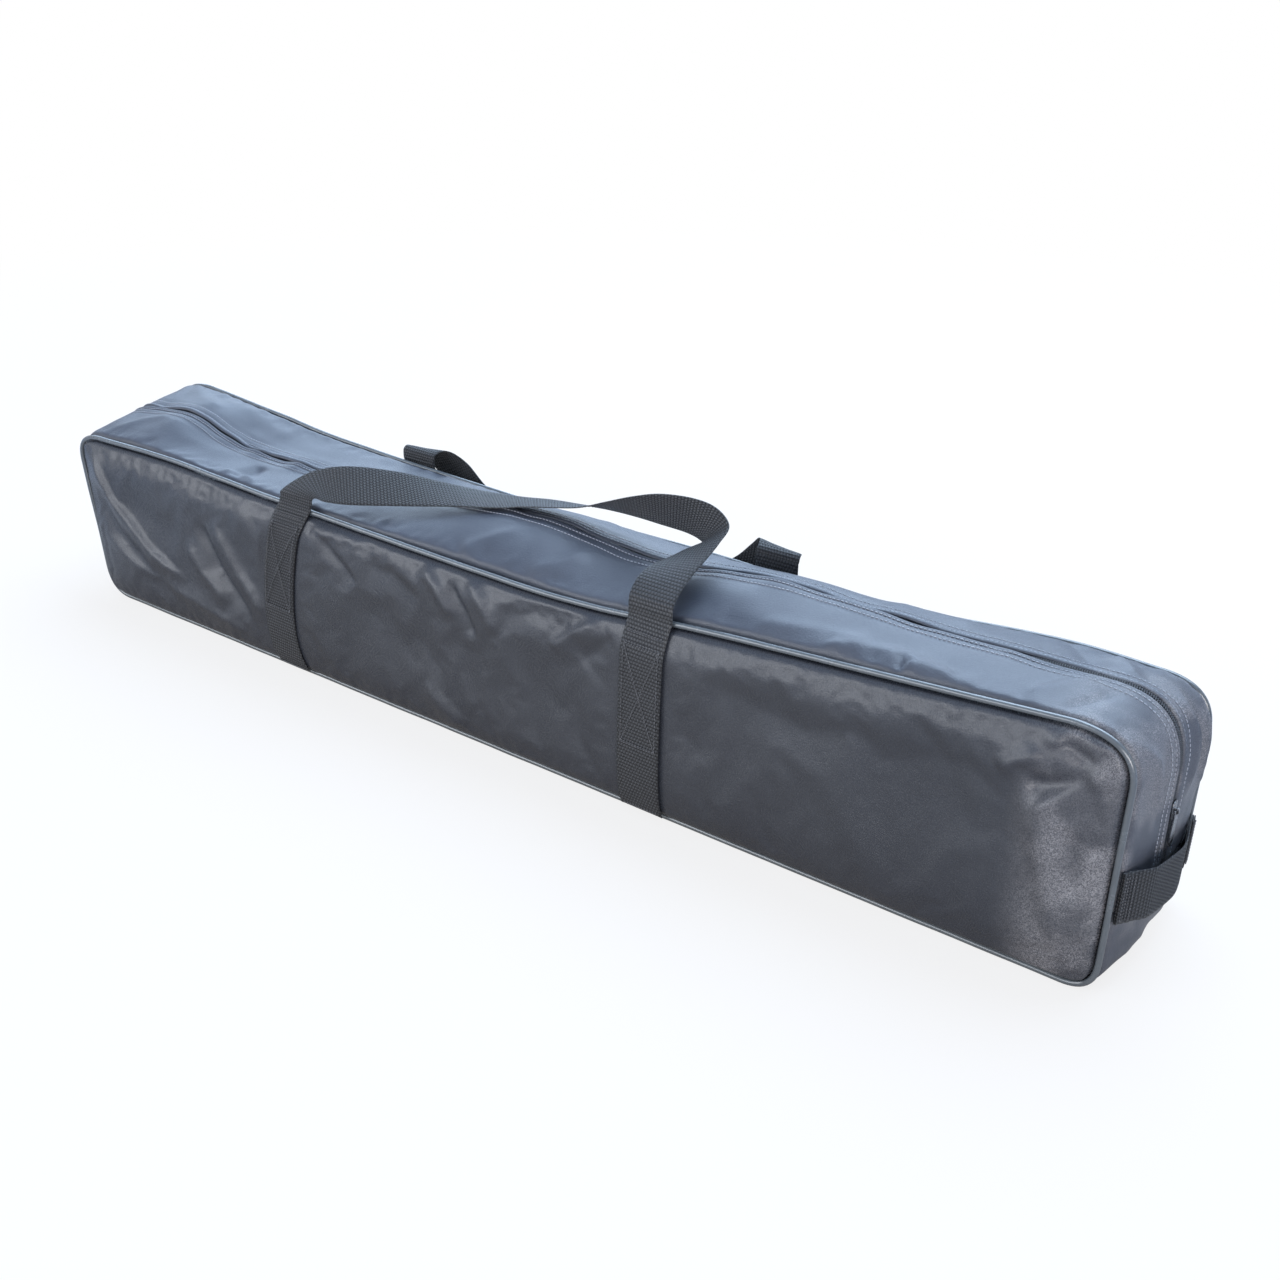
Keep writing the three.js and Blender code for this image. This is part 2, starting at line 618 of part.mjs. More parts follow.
// The front loop lies slack over the top. Each station has its share of the way between the roots, its
// place behind and above them in webbing widths, and the direction of the edge that starts outside.
const frontLoop = [
  [0, 0, 0, -1, 0, 0],
  [0.003, 0, 0.1, -1, 0, 0],
  [0.023, 0.1, 0.25, -0.95, 0.22, 0.12],
  [0.062, 0.26, 0.37, -0.76, 0.46, 0.42],
  [0.132, 0.48, 0.47, -0.58, 0.56, 0.58],
  [0.23, 0.98, 0.47, -0.66, 0.58, 0.45],
  [0.328, 1.45, 0.43, -0.78, 0.58, 0.2],
  [0.426, 1.85, 0.4, -0.78, 0.62, 0],
  [0.501, 2.03, 0.47, -0.68, 0.71, -0.15],
  [0.574, 2.12, 0.57, -0.62, 0.75, -0.2],
  [0.646, 2.18, 0.67, -0.58, 0.75, -0.3],
  [0.718, 2.22, 0.82, -0.46, 0.73, -0.5],
  [0.786, 2.25, 0.95, -0.35, 0.62, -0.7],
  [0.855, 2.25, 1.05, -0.27, 0.45, -0.85],
  [0.928, 2.22, 1.1, -0.33, 0.3, -0.88],
  [0.979, 2.12, 1.08, -0.5, 0.2, -0.83],
  [1.013, 1.9, 1, -0.72, 0.2, -0.6],
  [1.01, 1.52, 0.88, -0.88, 0.2, -0.42],
  [1.003, 1.13, 0.75, -0.95, 0.1, -0.28],
  [0.997, 0.73, 0.65, -1, 0, -0.12],
  [0.995, 0.37, 0.5, -1, 0, 0],
  [0.997, 0.08, 0.28, -1, 0, 0],
  [1, 0, 0.1, -1, 0, 0],
  [1, 0, 0, -1, 0, 0],
].map(([share, behind, above, ...edge]) => [
  lerp(frontRootLeft, frontRootRight, share), behind * webbingWidth - rootY,
  above * webbingWidth + rootTop, ...edge,
]);
add(bag, 'front_handle_loop', ribbon(frontLoop, 2), webbing);

// Half of the back loop, from its root over the seam and down behind to the middle of the grip.
const backHalfLoop = [
  [1, 0, 0, 1, 0, 0],
  [1, 0.025, 0.09, 1, 0, 0],
  [0.995, 0.125, 0.15, 1, 0, 0],
  [0.98, 0.28, 0.12, 0.99, 0, -0.12],
  [0.945, 0.45, -0.05, 0.96, 0, -0.28],
  [0.885, 0.63, -0.4, 0.88, 0, -0.45],
  [0.79, 0.7, -0.9, 0.78, 0, -0.62],
  [0.65, 0.75, -1.38, 0.6, 0, -0.8],
  [0.47, 0.78, -1.75, 0.36, 0, -0.93],
  [0.25, 0.78, -1.97, 0.16, 0, -0.99],
  [0, 0.78, -2.05, 0, 0, -1],
];
const backLoop = [
  ...backHalfLoop.map(([share, behind, above, x, y, z]) => [-share, behind, above, -x, y, z]),
  ...backHalfLoop.slice(0, -1).reverse(),
].map(([share, behind, above, ...edge]) => [
  backRootMiddle + share * backRootReach, behind * webbingWidth + rootY,
  above * webbingWidth + rootTop, ...edge,
]);
add(bag, 'back_handle_loop', ribbon(backLoop, 2), webbing);

/** Where the end of the bag stands at a height and a share across: its own outline, between seams. */
function endFace(side, z, share) {
  const at = (edges) => (side > 0 ? edges.rightX(z) : edges.leftX(z));
  const mean = (at(front) + at(back)) / 2;
  return lerp(at(front), at(back), (1 + share) / 2) + (at(middle) - mean) * (1 - share ** 2);
}

/** A short handle across one end of the bag, bowed clear of the cloth for the fingers. */
function endHandle(side) {
  const reach = 1 - seat / gussetHalf;
  const grid = evenly(-reach, reach, 16).map((share) => {
    const rise = Math.min(1, (1 - Math.abs(share)) / endHandleShoulder);
    const out = 2 * seat + endHandleBow * THREE.MathUtils.smoothstep(rise, 0, 1);
    const centre = endHandleHeight - endHandleSlope * share;
    return evenly(-1, 1, 2).map((across) => {
      const z = centre + across * webbingWidth / 2;
      return new THREE.Vector3(endFace(side, z, share) + side * out, share * gussetHalf, z);
    });
  });
  return sheet(grid, 0, side > 0 ? webbingThickness : -webbingThickness);
}
add(bag, 'end_handle_right', endHandle(1), webbing);
add(bag, 'end_handle_left', endHandle(-1), webbing);

// ---- The kit of tubes ----
const tubeSides = 12;

/** A turned piece from a profile of [along, radius], laid along x: closed, or from axis to axis. */
function turned(profile) {
  const points = profile.map(([along, radius]) => new THREE.Vector2(radius, along));
  if (THREE.ShapeUtils.area(points) < 0) points.reverse();
  if (points[0].x > 0) points.push(points[0].clone());
  return new THREE.LatheGeometry(points, tubeSides).rotateZ(-Math.PI / 2);
}

/** A plain tube of steel between two places along x. */
function plainTube(length, outer = tubeRadius, inner = boreRadius) {
  return turned([[0, inner], [length, inner], [length, outer], [0, outer]]);
}

/** A rail: a tube with one end swaged down to slip into the next. */
function rail() {
  const shoulder = railLength - neckLength - neckTaper;
  const neck = railLength - neckLength;
  const neckBore = neckRadius - tubeWall;
  return turned([
    [0, boreRadius], [shoulder, boreRadius], [neck, neckBore], [railLength, neckBore],
    [railLength, neckRadius], [neck, neckRadius], [shoulder, tubeRadius], [0, tubeRadius],
  ]);
}

/** A post's closing plug: a head as wide as the tube and a shank inside it. */
function postCap() {
  return turned([
    [-plugHead, 0], [-plugHead, tubeRadius - plugChamfer], [-plugHead + plugChamfer, tubeRadius],
    [-seat, tubeRadius], [-seat, neckRadius], [plugDepth, neckRadius - plugChamfer / 2], [plugDepth, 0],
  ]);
}

const layerY = (count, i) => (i - (count - 1) / 2) * tubePitch;
for (let i = 0; i < tubesAcross; i++) {
  const tube = add(kit, `rail_tube_${i + 1}`, rail(), powderCoat);
  tube.position.set(-railLength / 2, layerY(tubesAcross, i), firstLayer);
}

const upperCount = tubesAcross - 1;
const sixthRail = add(kit, `rail_tube_${tubesAcross + 1}`, rail(), powderCoat);
sixthRail.position.set(-railLength / 2, layerY(upperCount, 0), secondLayer);
const posts = [
  ['end_post_left', endPostLength, 1], ['end_post_right', endPostLength, 2],
  ['centre_post', centrePostLength, 3],
];
for (const [name, length, row] of posts) {
  const y = layerY(upperCount, row);
  const tube = add(kit, name, plainTube(length), powderCoat);
  tube.position.set(-length / 2, y, secondLayer);
  const cap = add(kit, `${name}_cap`, postCap(), plugPlastic);
  cap.position.set(-length / 2, y, secondLayer);
}

/** A tube laid along x, with slip-in stubs standing on its wall. */
function withStub(outerRadius, innerRadius, length, stubs) {
  let body = toSolid(plainTube(length, outerRadius, innerRadius));
  const bore = toSolid(turned([[-1, 0], [-1, innerRadius], [length + 1, innerRadius], [length + 1, 0]]));
  for (const { at, reach, direction } of stubs) {
    const rod = plainTube(outerRadius + reach - innerRadius * 0.5, neckRadius, neckRadius - tubeWall);
    rod.translate(innerRadius * 0.5, 0, 0);
    const aim = new THREE.Quaternion().setFromUnitVectors(new THREE.Vector3(1, 0, 0), direction);
    rod.applyQuaternion(aim).translate(at, 0, 0);
    body = body.add(toSolid(rod).subtract(bore));
  }
  return toGeometry(body);
}

/** A rubber cup over a foot's end, open toward +x. */
function footCap() {
  const bore = tubeRadius + slipClearance;
  return turned([
    [-capWall - seat, 0], [-capWall - seat, capRadius - capChamfer],
    [capChamfer - capWall - seat, capRadius],
    [capDepth, capRadius], [capDepth, bore], [-seat, bore], [-seat, 0],
  ]);
}

const footY = halfWidth - fabric - seat - capRadius - footSideGap;
const footStart = -kitHalf + capReach;
const across = new THREE.Vector3(0, 1, 0);
const feet = [
  ['end_foot_left', endFootLength, footStart, -footY, 1],
  ['end_foot_right', endFootLength, -footStart - endFootLength, footY, -1],
  ['centre_foot', centreFootLength, -footStart - centreFootLength, -footY, 1],
];
for (const [name, length, start, y, toward] of feet) {
  const stub = { at: length / 2, reach: spigotReach, direction: across.clone().multiplyScalar(toward) };
  const foot = add(kit, name, withStub(tubeRadius, boreRadius, length, [stub]), powderCoat);
  foot.position.set(start, y, footLayer);
  const near = add(kit, `${name}_cap_near`, footCap(), footRubber);
  near.position.set(start, y, footLayer);
  const far = add(kit, `${name}_cap_far`, footCap().rotateZ(Math.PI), footRubber);
  far.position.set(start + length, y, footLayer);
}

/** How high a sleeve at y comes to rest on the second layer of tubes. */
function restingHeight(y) {
  const reach = tubeRadius + sleeveRadius + seat;
  const heights = Array.from({ length: upperCount }, (_, row) => {
    const aside = Math.min(Math.abs(layerY(upperCount, row) - y), reach);
    return secondLayer + Math.sqrt(reach ** 2 - aside ** 2);
  });
  return Math.max(...heights);
}

const up = new THREE.Vector3(0, 0, 1);
const connectorEnd = netHeight / 2 + connectorGap;
const oneStub = [{ at: sleeveLength / 2, reach: stubReach, direction: up }];
const twoStubs = [
  { at: sleeveLength * 0.3, reach: stubReach, direction: up },
  { at: sleeveLength * 0.7, reach: stubReach - 0.001, direction: up },
];
const connectors = [
  ['end_connector_left', -connectorEnd - sleeveLength, 0, oneStub],
  ['end_connector_right', connectorEnd, -sleeveRadius - seat, oneStub],
  ['centre_connector', connectorEnd, sleeveRadius + seat, twoStubs],
];
for (const [name, start, y, stubs] of connectors) {
  const joint = add(kit, name, withStub(sleeveRadius, sleeveBore, sleeveLength, stubs), powderCoat);
  joint.position.set(start, y, restingHeight(y));
}

// ---- The rolled net ----

/** A point of an oval with straight top and bottom, at a turn and a depth below its outside. */
function rollPoint(turn, depth) {
  const radius = netRollHeight / 2 - depth;
  const straightHalf = (netRollWidth - netRollHeight) / 2;
  const side = THREE.MathUtils.clamp(Math.cos(turn) * 3, -1, 1) * straightHalf;
  return new THREE.Vector2(side + radius * Math.cos(turn), radius * Math.sin(turn));
}

const rollSteps = 20;

/** The spiral of the rolled net, seen along the roll. */
function spiralShape() {
  const count = netTurns * rollSteps;
  const pitch = netLayer + 1;
  const outside = [];
  const inside = [];
  for (let i = 0; i <= count; i++) {
    const turn = (i / rollSteps) * 2 * Math.PI - Math.PI / 2;
    const depth = (i / rollSteps) * pitch;
    outside.push(rollPoint(turn, depth));
    inside.push(rollPoint(turn, depth + netLayer));
  }
  return new THREE.Shape([...outside, ...inside.reverse()]);
}

/** Stands a shape up across the bag and runs it along x from a start. */
function alongBag(shape, length, start) {
  const solid = new THREE.ExtrudeGeometry(shape, { depth: length, bevelEnabled: false, curveSegments: 8 });
  const turn = new THREE.Matrix4().makeBasis(
    new THREE.Vector3(0, 1, 0), new THREE.Vector3(0, 0, 1), new THREE.Vector3(1, 0, 0));
  turn.setPosition(start, 0, netBottom + netRollHeight / 2);
  return solid.applyMatrix4(turn);
}

const rollStart = -netHeight / 2;
const netBody = netHeight - topTapeWidth - seat;
add(kit, 'net_roll', alongBag(spiralShape(), netBody, rollStart), netting);
add(kit, 'net_top_tape', alongBag(spiralShape(), topTapeWidth, rollStart + netBody + seat), whiteTape);

/** A strap closed round the roll. */
function netStrap(x) {
  const ring = (grow) => Array.from({ length: rollSteps }, (_, i) =>
    rollPoint((i / rollSteps) * 2 * Math.PI - Math.PI / 2, -seat - grow));
  const shape = new THREE.Shape(ring(strapThickness));
  shape.holes.push(new THREE.Path(ring(0)));
  return alongBag(shape, strapWidth, x - strapWidth / 2);
}
add(kit, 'net_strap_left', netStrap(-strapSpread), webbing);
add(kit, 'net_strap_right', netStrap(strapSpread), webbing);

export default product;
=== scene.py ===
import json
import math
from bisect import bisect_left

import bmesh
import bpy
from mathutils import Matrix, Vector, noise


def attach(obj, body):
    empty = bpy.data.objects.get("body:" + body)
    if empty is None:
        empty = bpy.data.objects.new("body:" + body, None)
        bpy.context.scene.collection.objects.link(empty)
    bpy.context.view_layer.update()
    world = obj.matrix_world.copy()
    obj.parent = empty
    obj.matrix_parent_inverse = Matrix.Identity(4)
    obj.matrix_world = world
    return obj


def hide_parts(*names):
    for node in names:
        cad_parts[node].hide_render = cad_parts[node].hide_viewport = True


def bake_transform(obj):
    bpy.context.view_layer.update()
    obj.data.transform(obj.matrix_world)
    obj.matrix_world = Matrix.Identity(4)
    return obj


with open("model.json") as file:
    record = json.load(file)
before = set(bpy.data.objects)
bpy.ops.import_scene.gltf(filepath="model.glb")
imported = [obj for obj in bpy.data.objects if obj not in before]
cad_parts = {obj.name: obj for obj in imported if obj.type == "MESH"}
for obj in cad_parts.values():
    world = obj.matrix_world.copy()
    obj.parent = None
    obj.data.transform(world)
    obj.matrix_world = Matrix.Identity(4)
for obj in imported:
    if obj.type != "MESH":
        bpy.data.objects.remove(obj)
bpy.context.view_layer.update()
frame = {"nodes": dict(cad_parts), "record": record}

nodes = frame["nodes"]
mm = 0.001

# ---- Camera ----
# The photograph is taken from above the bag's right half, over its front panel. The lens was fitted to
# the corners of the bag, and the picture is square.
camera = bpy.data.objects.new("camera", bpy.data.cameras.new("camera"))
bpy.context.scene.collection.objects.link(camera)
bpy.context.scene.camera = camera
camera.data.sensor_width = 36
camera.data.lens = 41.523
yaw, pitch, roll = -0.634769, 0.461241, 0.009067
sight = Vector((math.sin(yaw) * math.cos(pitch), math.cos(yaw) * math.cos(pitch), -math.sin(pitch)))
level_side = sight.cross(Vector((0, 0, 1))).normalized()
level_up = level_side.cross(sight)
side = math.cos(roll) * level_side + math.sin(roll) * level_up
up = math.cos(roll) * level_up - math.sin(roll) * level_side
camera.matrix_world = Matrix.Translation((0.747169, -0.873587, 0.645305)) @ Matrix(
    (side, up, -sight)).transposed().to_4x4()


# ---- Studio ----
# A pale sweep of floor under a soft sky that is bright at the horizon and blue overhead. Wide cool lamps
# stand above and behind, a broad one fills the front, and one at the right picks out the cloth's sheen.
def put(tree, kind, inputs=(), **settings):
    """Adds a node. An input is a number, a colour or the socket that feeds it."""
    made = tree.nodes.new(kind)
    for name, value in settings.items():
        setattr(made, name, value)
    for socket, value in dict(inputs).items():
        if isinstance(value, bpy.types.NodeSocket):
            tree.links.new(value, made.inputs[socket])
        else:
            made.inputs[socket].default_value = value
    return made


def combine(tree, operation, first, second=0.0, third=0.0):
    """One step of arithmetic between sockets and numbers."""
    return put(tree, "ShaderNodeMath", {0: first, 1: second, 2: third}, operation=operation).outputs[0]


def remap(tree, value, low, high, to_low=0.0, to_high=1.0, curve="LINEAR"):
    """A value carried from one range to another and held at both ends."""
    return put(tree, "ShaderNodeMapRange", {
        "Value": value, "From Min": low, "From Max": high, "To Min": to_low, "To Max": to_high},
        interpolation_type=curve).outputs[0]


def mix_tints(tree, share, first, second):
    """A colour between two. Each is a colour or the socket that gives it."""
    return put(tree, "ShaderNodeMix", {0: share, 6: first, 7: second}, data_type="RGBA").outputs[2]


def seen_straight(tree, camera_share, mirror_share):
    """How much of the plain white a ray sees: from the camera, or in metal and glass."""
    path = put(tree, "ShaderNodeLightPath")
    mirrored = combine(tree, "MAXIMUM", path.outputs["Is Glossy Ray"], path.outputs["Is Transmission Ray"])
    mirrored = combine(tree, "MULTIPLY", mirrored, mirror_share)
    direct = combine(tree, "MULTIPLY", path.outputs["Is Camera Ray"], camera_share)
    return combine(tree, "MAXIMUM", direct, mirrored)


room = bpy.data.worlds.new("room")
bpy.context.scene.world = room
room.use_nodes = True
tree = room.node_tree
tree.nodes.clear()
ray_way = put(tree, "ShaderNodeSeparateXYZ", {0: put(tree, "ShaderNodeTexCoord").outputs["Generated"]})
height = remap(tree, ray_way.outputs[2], 0.0, 0.7)
sky_tint = mix_tints(tree, height, (0.66, 0.68, 0.72, 1), (0.34, 0.46, 0.66, 1))
open_sky = put(tree, "ShaderNodeBackground", {"Color": sky_tint, "Strength": 0.8})
white_wall = put(tree, "ShaderNodeBackground", {"Color": (1, 1, 1, 1), "Strength": 1.0})
room_light = put(tree, "ShaderNodeMixShader", {
    0: seen_straight(tree, 1.0, 0.12), 1: open_sky.outputs[0], 2: white_wall.outputs[0]})
put(tree, "ShaderNodeOutputWorld", {"Surface": room_light.outputs[0]})

floor_mesh = bpy.data.meshes.new("studio_floor")
floor_shape = bmesh.new()
bmesh.ops.create_grid(floor_shape, x_segments=1, y_segments=1, size=60)
floor_shape.to_mesh(floor_mesh)
floor = bpy.data.objects.new("studio_floor", floor_mesh)
bpy.context.scene.collection.objects.link(floor)
floor.location.z = -0.4 * mm
floor_paint = bpy.data.materials.new("pale_floor")
floor_paint.use_nodes = True
tree = floor_paint.node_tree
tree.nodes.clear()
camera_ray = put(tree, "ShaderNodeLightPath").outputs["Is Camera Ray"]
from_middle = put(tree, "ShaderNodeVectorMath", {0: put(tree, "ShaderNodeTexCoord").outputs["Object"]},
                  operation="LENGTH").outputs["Value"]
whiter_far_off = remap(tree, from_middle, 0.7, 2.2, 0.8, 1.0)
far_share = remap(tree, from_middle, 0.35, 1.1)
bounced_tint = mix_tints(tree, far_share, (0.40, 0.34, 0.28, 1), (0.32, 0.35, 0.41, 1))
floor_tint = mix_tints(tree, camera_ray, bounced_tint, (0.84, 0.80, 0.78, 1))
matt = put(tree, "ShaderNodeBsdfDiffuse", {"Color": floor_tint})
glow = put(tree, "ShaderNodeEmission", {"Color": (1, 1, 1, 1), "Strength": 1.0})
floor_mix = put(tree, "ShaderNodeMixShader", {
    0: seen_straight(tree, whiter_far_off, 0.06), 1: matt.outputs[0], 2: glow.outputs[0]})
put(tree, "ShaderNodeOutputMaterial", {"Surface": floor_mix.outputs[0]})
floor.data.materials.append(floor_paint)

lamps = [
    ("sky_lamp", (0.3, 1.2, 2.4), (0.1, 0, 0.1), (3.0, 2.4), 90, (0.63, 0.80, 1.0)),
    ("back_lamp", (-2.0, 2.7, 1.4), (0.0, 0, 0.15), (5.0, 2.0), 66, (0.57, 0.76, 1.0)),
    ("front_lamp", (-1.4, -2.5, 1.1), (0, 0, 0.1), (3.4, 1.8), 47, (0.92, 0.95, 1.0)),
    ("sheen_lamp", (2.3, -2.0, 0.6), (0.5, 0, 0.1), (2.2, 1.3), 38, (1.0, 0.97, 0.98)),
]
for lamp_name, place, target, (wide, high), power, tint in lamps:
    lamp = bpy.data.lights.new(lamp_name, "AREA")
    lamp.shape = "ELLIPSE"
    lamp.size, lamp.size_y = wide, high
    lamp.energy = power
    lamp.color = tint
    stand = bpy.data.objects.new(lamp_name, lamp)
    bpy.context.scene.collection.objects.link(stand)
    stand.location = place
    stand.rotation_euler = (Vector(target) - Vector(place)).to_track_quat("-Z", "Y").to_euler()
bpy.context.scene.view_settings.view_transform = "Standard"

# ---- The cut of the bag ----
# Two long face panels are sewn to one band that runs right round them. Its lower part is a single strip;
# its upper part is two strips with the zip between them. Filled, the top edges sag between the ends.
half_length, half_width = 535 * mm, 72.5 * mm
lowest_top, slack, corner_reach, seam_height = 164.93 * mm, 10 * mm, 30 * mm, 64 * mm
band_half = 68 * mm
cuts = {
    "front": {
        "top": [(-0.472, 0.8), (-0.37, 1), (-0.25, 0.5), (-0.02, 0), (0.09, 0.1), (0.2, 1.2), (0.33, 2.2),
                (0.458, 3.2)],
        "right": (-0.1, 0.1), "left": (-0.8, 1.4), "low": (1, 0.87), "high": (1.1, 1.23)},
    "back": {
        "top": [(-0.48, 2.6), (-0.38, 1.7), (-0.28, 0.8), (-0.04, 0), (0.1, 0.1), (0.2, 0), (0.27, 0.1),
                (0.4, 1.3), (0.466, 1.2)],
        "right": (0.4, 0.6), "left": (0.8, 2.3), "low": (1.27, 1.5), "high": (1.03, 1.3)},
    "middle": {
        "top": [(-0.472, 2.1), (-0.42, 2.5), (-0.36, 0.9), (-0.265, 0.5), (-0.154, 1), (0, 2.5),
                (0.106, 1.8), (0.218, 3), (0.33, 2.8), (0.462, 3)],
        "right": (0.7, 0.7), "left": (0.2, 1.6), "low": (1.07, 1.07), "high": (1.2, 1.77)},
}
side_steps, corner_steps, long_steps, ridge_steps = 30, 24, 420, 40


def smooth_line(points, steps):
    """A smooth line through the points, with the same number of steps between neighbours."""
    last = len(points) - 1
    line = []
    for i in range(last):
        before, after = points[max(i - 1, 0)], points[min(i + 2, last)]
        here, there = points[i], points[i + 1]
        leave, arrive = (there - before) / 2, (after - here) / 2
        for step in range(steps):
            t = step / steps
            line.append((2 * (here - there) + leave + arrive) * t ** 3
                        + (3 * (there - here) - 2 * leave - arrive) * t ** 2 + leave * t + here)
    line.append(points[last].copy())
    return line


def lengths_along(points):
    """How far along a line each of its points lies."""
    reached = [0.0]
    for a, b in zip(points, points[1:]):
        reached.append(reached[-1] + (b - a).length)
    return reached


def find_along(reached, want):
    """The point that ends the step where a length falls, and the share of that step before it."""
    after = min(max(bisect_left(reached, want), 1), len(reached) - 1)
    return after, (want - reached[after - 1]) / max(reached[after] - reached[after - 1], 1e-9)


def evenly_along(points, count):
    """The same line in a number of equal steps."""
    reached = lengths_along(points)
    line = []
    for step in range(count + 1):
        after, share = find_along(reached, reached[-1] * step / count)
        line.append(points[after - 1].lerp(points[after], share))
    return line


def stretch_between(start, end, steps):
    """A straight stretch of seam, without its first point."""
    return [start.lerp(end, step / steps) for step in range(1, steps + 1)]


def round_corner(start, corner, end):
    """A rounded corner of the seam, without its first point."""
    shares = [step / corner_steps for step in range(1, corner_steps + 1)]
    return [start.lerp(corner, t).lerp(corner.lerp(end, t), t) for t in shares]


def cut_outline(cut):
    """The edge of one panel in x and z: from the left seam down and round to the right one, and back over."""
    top = [Vector((share * 2 * half_length, lowest_top + rise * slack)) for share, rise in cut["top"]]
    top_left, top_right = top[0], top[-1]

    def leaning_end(lean, way, top_height):
        low, high = lean
        return lambda z: Vector((way * (half_length + slack * (low + (high - low) * z / top_height)), z))

    on_right = leaning_end(cut["right"], 1, top_right.y)
    on_left = leaning_end(cut["left"], -1, top_left.y)
    low_left, low_right = (corner_reach * share for share in cut["low"])
    high_left, high_right = (corner_reach * share for share in cut["high"])
    left_foot = Vector((on_left(0).x + low_left, 0))
    right_foot = Vector((on_right(0).x - low_right, 0))
    lower = [on_left(seam_height)]
    lower += stretch_between(lower[0], on_left(low_left), side_steps)
    lower += round_corner(lower[-1], on_left(0), left_foot)
    lower += stretch_between(left_foot, right_foot, long_steps)
    lower += round_corner(right_foot, on_right(0), on_right(low_right))
    lower += stretch_between(on_right(low_right), on_right(seam_height), side_steps)

    ridge = smooth_line(top, ridge_steps)
    ridge_x = [point.x for point in ridge]

    def ridge_at(x):
        after, share = find_along(ridge_x, min(max(x, top_left.x), top_right.x))
        return ridge[after - 1].y + (ridge[after].y - ridge[after - 1].y) * share

    upper = [on_right(seam_height)]
    upper += stretch_between(upper[0], on_right(top_right.y - high_right), side_steps)
    upper += round_corner(upper[-1], on_right(top_right.y), top_right)
    for step in range(1, long_steps + 1):
        x = top_right.x + (top_left.x - top_right.x) * step / long_steps
        upper.append(Vector((x, ridge_at(x))))
    upper += round_corner(top_left, on_left(top_left.y), on_left(top_left.y - high_left))
    upper += stretch_between(upper[-1], on_left(seam_height), side_steps)
    return {"lower": lower, "upper": upper, "all": lower[:-1] + upper[:-1], "ridge_at": ridge_at,
            "right": on_right, "left": on_left}


outlines = {name: cut_outline(cut) for name, cut in cuts.items()}
last_station = len(outlines["front"]["upper"]) - 1


def inset_line(points, distance):
    """A closed line moved inward in its own plane."""
    moved = []
    for i, point in enumerate(points):
        along = (points[(i + 1) % len(points)] - points[i - 1]).normalized()
        moved.append(Vector((point.x - along.y * distance, point.y + along.x * distance)))
    return moved


def ease(value):
    """A smooth step from nothing at 0 to one at 1."""
    held = min(max(value, 0.0), 1.0)
    return held * held * (3 - 2 * held)


def mound(distance, width):
    """A soft rise: one at no distance, falling away over the width."""
    return math.exp(-(distance / width) ** 2)


def to_line(x, z, line):
    """Distance in the plane to a broken line, which side of it, and the share of the way along it."""
    best = None
    for i, ((ax, az), (bx, bz)) in enumerate(zip(line, line[1:])):
        run_x, run_z = bx - ax, bz - az
        share = ((x - ax) * run_x + (z - az) * run_z) / (run_x ** 2 + run_z ** 2)
        share = min(max(share, 0.0), 1.0)
        off_x, off_z = x - ax - share * run_x, z - az - share * run_z
        distance = math.hypot(off_x, off_z)
        if best is None or distance < best[0]:
            which = 1 if off_x * run_z - off_z * run_x > 0 else -1
            best = (distance, which, (i + share) / (len(line) - 1))
    return best


fold_reach, fold_end_rise = 3.2, 0.15


def fold_height(x, z, folds):
    """Sum of folds in millimetres. Each has its line, the width on either side, its height, and how much
    of it is a sharp crease."""
    total = 0.0
    for line, left_width, right_width, height, sharp in folds:
        reach = fold_reach * max(left_width, right_width)
        low_x, high_x = min(p[0] for p in line) - reach, max(p[0] for p in line) + reach
        low_z, high_z = min(p[1] for p in line) - reach, max(p[1] for p in line) + reach
        if not (low_x < x < high_x and low_z < z < high_z):
            continue
        distance, which, share = to_line(x, z, line)
        width = left_width if which < 0 else right_width
        taper = ease(4 * share + fold_end_rise) * ease(4 * (1 - share) + fold_end_rise)
        total += height * taper * ((1 - sharp) * mound(distance, width)
                                   + sharp * math.exp(-distance / (0.55 * width)))
    return total


def new_cloth(columns, rows):
    """A grid to shape as cloth, reaching half a metre from the origin, with a layer for its lay."""
    shape = bmesh.new()
    bmesh.ops.create_grid(shape, x_segments=columns, y_segments=rows, size=0.5)
    return shape, shape.loops.layers.uv.new("cloth_lay")


def lay_cloth(shape, lay, flat_place):
    """Writes each point's place on the flat cloth into the faces round it."""
    for face in shape.faces:
        for corner in face.loops:
            corner[lay].uv = flat_place(corner.vert)


def new_piece(name, shape, smooth=True):
    """Turns a finished bmesh into a piece of the scene."""
    mesh = bpy.data.meshes.new(name)
    for face in shape.faces:
        face.smooth = smooth
    shape.to_mesh(mesh)
    shape.free()
    piece = bpy.data.objects.new(name, mesh)
    bpy.context.scene.collection.objects.link(piece)
    return piece


